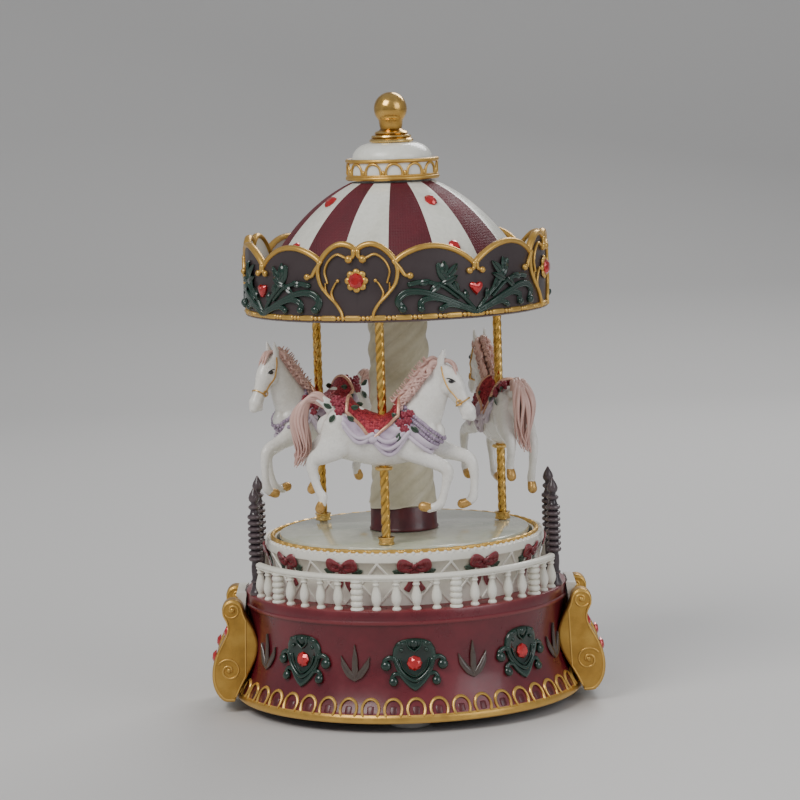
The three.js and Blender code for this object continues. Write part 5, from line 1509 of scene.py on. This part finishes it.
CREST = flowing([(26.0, 0, 159.6), (22.2, 0, 156.0), (18.4, 0, 151.2), (14.6, 0, 146.2), (10.2, 0, 141.6)], 6)
for k, root in enumerate(CREST):
    t = k / (len(CREST) - 1)
    for side in (-1, 1):
        drop = locks.uniform(1.6, 4.2)
        sweep = locks.uniform(3.4, 5.6)
        lock([root + (1.4, side * 0.8, -0.4), root + (-sweep * 0.35, side * 2.4, 1.0),
              root + (-sweep * 0.75, side * 3.6, 0.2 - drop * 0.4),
              root + (-sweep * 0.7, side * 4.6, -drop), root + (-sweep * 1.25, side * 4.8, -drop - 0.6)],
             1.3, 0.35, 0.3)
    lock([root + (0.4, 0, 0), root + (-2.6, locks.uniform(-0.8, 0.8), 2.4),
          root + (-5.0, locks.uniform(-1.4, 1.4), 1.6),
          root + (-6.6, locks.uniform(-1.4, 1.4), 3.0)], 1.4, 0.3, 0.3)
for side in (-1.2, 0, 1.2):
    lock([(27.6, side * 0.5, 161.0), (31.0, side, 160.4), (33.6, side * 1.3, 156.6),
          (34.4, side * 1.6, 152.4)], 1.15)
for k in range(26):
    a = math.tau * k / 26 + locks.uniform(-0.1, 0.1)
    ring = 0.5 if k % 3 == 0 else 1.0
    u, v = ring * math.cos(a), ring * math.sin(a)
    low = locks.uniform(-3.5, 2.0)
    lock([(-24.5, v * 1.2, 141.6 + u), (-29.6 + u * 1.2, v * 2.2, 145.2 + u * 1.6),
          (-34.6 + u * 2.0, v * 3.1, 143.6 + u * 1.4), (-37.4 + u * 3.0, v * 3.9, 136.6),
          (-36.6 + u * 3.4, v * 3.8, 128.2), (-36.2 + u * 3.0, v * 3.0, 122.0 + low * 0.5),
          (-38.6 + u * 2.0, v * 2.0, 117.5 + low)], 1.35, 0.3, 0.7)

# Small pieces: hooves, roses, bridle and eyes.
hooves, roses, rose_leaves, bridle, eyes = Casting(), Casting(), Casting(), Casting(), Casting()
for root, toe in HOOVES:
    toe = tuple(b + 0.25 * (a - b) for a, b in zip(root, toe))
    hooves.add(rod([root, tuple(0.5 * (a + b) for a, b in zip(root, toe)), toe], [1.85, 2.1, 2.2],
                   [1.9, 2.1, 2.2], up=(0, 1, 0), sides=18))


def rose(centre, size):
    """A small rose: a bud in a ring of overlapping petals."""
    roses.add(egg(centre, (size * 0.5, size * 0.6, size * 0.5), 10, 6))
    for ring, count in ((0.55, 4), (0.95, 6)):
        for k in range(count):
            a = math.tau * (k + ring) / count
            roses.add(egg((centre[0] + size * ring * 0.75 * math.cos(a), centre[1] * (1 - 0.05 * ring),
                           centre[2] + size * ring * 0.75 * math.sin(a)),
                          (size * 0.42, size * 0.36, size * 0.42), 10, 6))


for side in (-1, 1):
    for forward, turn in ((10.6, 44), (12.4, 58), (9.2, 60), (11.2, 74), (13.4, 42), (-16.2, 22),
                          (-18.6, 32), (-15.6, 40), (-18.0, 48), (-20.4, 22)):
        rose(back(forward, side * turn, 1.5), 2.0)
    for forward, turn, tilt in ((8.6, 48, 2.4), (14.0, 70, -0.6), (9.0, 78, -1.8), (-13.4, 30, 0.2),
                                (-21.4, 40, 2.6), (-14.2, 52, -0.6), (-19.8, 56, -2.2)):
        blade = Casting().add(leaf_blade(4.2, 2.4, 0.5))
        foot = back(forward, side * turn, 1.1)
        c, s = math.cos(tilt), math.sin(tilt)
        blade.bend(lambda u, v,
                   out: (foot[0] + u * c - v * s, foot[1] + side * (out + 0.3), foot[2] + u * s + v * c))
        rose_leaves.add((blade.points, blade.faces))
for side in (-1, 1):
    strap = flowing([(27.6, side * 3.4, 158.2), (28.6, side * 4.4, 153.0), (31.4, side * 4.4, 147.4),
                     (35.0, side * 3.6, 142.6)], 6)
    bridle.add(rod(laid(strap, 0.2), 0.36, 0.36, sides=6))
    ring = [(35.0 + 1.2 * math.cos(a), side * 3.25,
             142.4 + 1.2 * math.sin(a)) for a in np.linspace(0, math.tau, 16, endpoint=False)]
    bridle.add(rod(ring, 0.32, 0.32, sides=6, loop=True))
    eye_at = laid([(31.9, side * 4.2, 151.9)], 0.05)[0]
    eyes.add(egg(eye_at, (1.35, 0.55, 0.85), 16, 8))
    lash = laid([(31.9 + 1.9 * u, side * 4.4,
                  153.0 - 0.7 * u - 0.5 * u * u) for u in np.linspace(-1, 1, 9)], 0.1)
    eyes.add(rod(lash, 0.26, 0.26, sides=6))
noseband = [(36.4 + 4.2 * math.cos(a) * 0.86, 4 * math.sin(a),
             142.4 + 4.2 * math.cos(a) * 0.5) for a in np.linspace(0, math.tau, 32, endpoint=False)]
bridle.add(rod(laid(noseband, 0.2), 0.38, 0.38, sides=6, loop=True))

ivory = finish("ivory_porcelain", [(0.74, 0.71, 0.65), (0.82, 0.80, 0.75), (0.86, 0.84, 0.80)],
               (0.22, 0.34), 12, 0.03, coat=0.35,
               edge=(0.92, 0.91, 0.88), hollow_shade=(0.52, 0.44, 0.36))
hair_pink = finish("dusty_pink_hair", [(0.30, 0.13, 0.11), (0.46, 0.22, 0.18), (0.56, 0.30, 0.25)],
                   (0.34, 0.5), 4, 0.04, coat=0.15,
                   edge=(0.72, 0.48, 0.42), hollow_shade=(0.14, 0.05, 0.045))
glitter = pricked(finish("crimson_glitter",
                         [(0.16, 0.008, 0.018), (0.30, 0.014, 0.030), (0.45, 0.05, 0.06)], (0.2, 0.5), 1.4,
                         0.05,
                         metal=0.35), 0.7, 0.3)
pink_gold = finish("pink_gold_piping", [(0.56, 0.30, 0.20), (0.70, 0.42, 0.30)], (0.25, 0.4), 3, 0.03,
                   metal=0.5)
lavender = finish("lavender_cloth", [(0.34, 0.25, 0.36), (0.46, 0.36, 0.48), (0.56, 0.46, 0.57)],
                  (0.4, 0.55), 6, 0.04,
                  edge=(0.70, 0.62, 0.70), hollow_shade=(0.18, 0.11, 0.18))
bead_lilac = finish("lilac_beads", [(0.28, 0.20, 0.30), (0.44, 0.34, 0.46)], (0.15, 0.3), 3, 0.02, coat=0.5)
rose_red = finish("rose_red", [(0.10, 0.006, 0.016), (0.19, 0.012, 0.028), (0.24, 0.02, 0.04)],
                  (0.35, 0.5), 3, 0.04, edge=(0.30, 0.035, 0.06))
hoof_gold = finish("hoof_gold", [(0.55, 0.30, 0.08), (0.68, 0.42, 0.14)], (0.25, 0.4), 4, 0.03, metal=0.6)
eye_black = finish("eye_black", [(0.004, 0.003, 0.003), (0.010, 0.007, 0.006)], (0.08, 0.15), 2, 0.005,
                   coat=0.8)
body_casting = Casting().add(horse_body)
PARTS = [("porcelain_horse", body_casting, "ivory_porcelain_finish", ivory, 60),
         ("horse_hair", hair, "ivory_porcelain_finish", hair_pink, 60),
         ("glitter_saddle", saddle, "crimson_lacquer", glitter, 60),
         ("saddle_piping", piping, "gilt_metal", pink_gold, 60),
         ("lavender_sash", sash, "ivory_porcelain_finish", lavender, 60),
         ("bead_collar", beads, "ivory_porcelain_finish", bead_lilac, 60),
         ("rose_sprays", roses, "crimson_lacquer", rose_red, 60),
         ("rose_leaves", rose_leaves, "ivory_porcelain_finish", leaf_green, 60),
         ("gold_hooves", hooves, "gilt_metal", hoof_gold, 50),
         ("gold_bridle", bridle, "gilt_metal", hoof_gold, 50),
         ("horse_eyes", eyes, "black_plastic", eye_black, 60)]
HORSE_TURNS = (0, -5, -8)
first_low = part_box("horse_1")[0] * 1000
for i in (1, 2, 3):
    pole_low, pole_high = (corner * 1000 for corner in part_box(f"twisted_pole_{i}"))
    centre = (pole_low + pole_high) / 2
    drop = first_low.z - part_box(f"horse_{i}")[0].z * 1000
    facing = math.atan2(centre.x, -centre.y) + math.radians(HORSE_TURNS[i - 1])
    c, s = math.cos(facing), math.sin(facing)
    for name, casting, slot, material, crease in PARTS:
        piece = Casting()
        piece.points, piece.faces, piece.tints = list(casting.points), casting.faces, casting.tints
        piece.bend(lambda f, out, h: (centre.x + f * c - out * s, centre.y + f * s + out * c, h - drop))
        piece.set_on(f"{name}_{i}", f"gallop_{i}", slot, material,
                     [f"horse_{i}"] if casting is body_casting else (), crease)
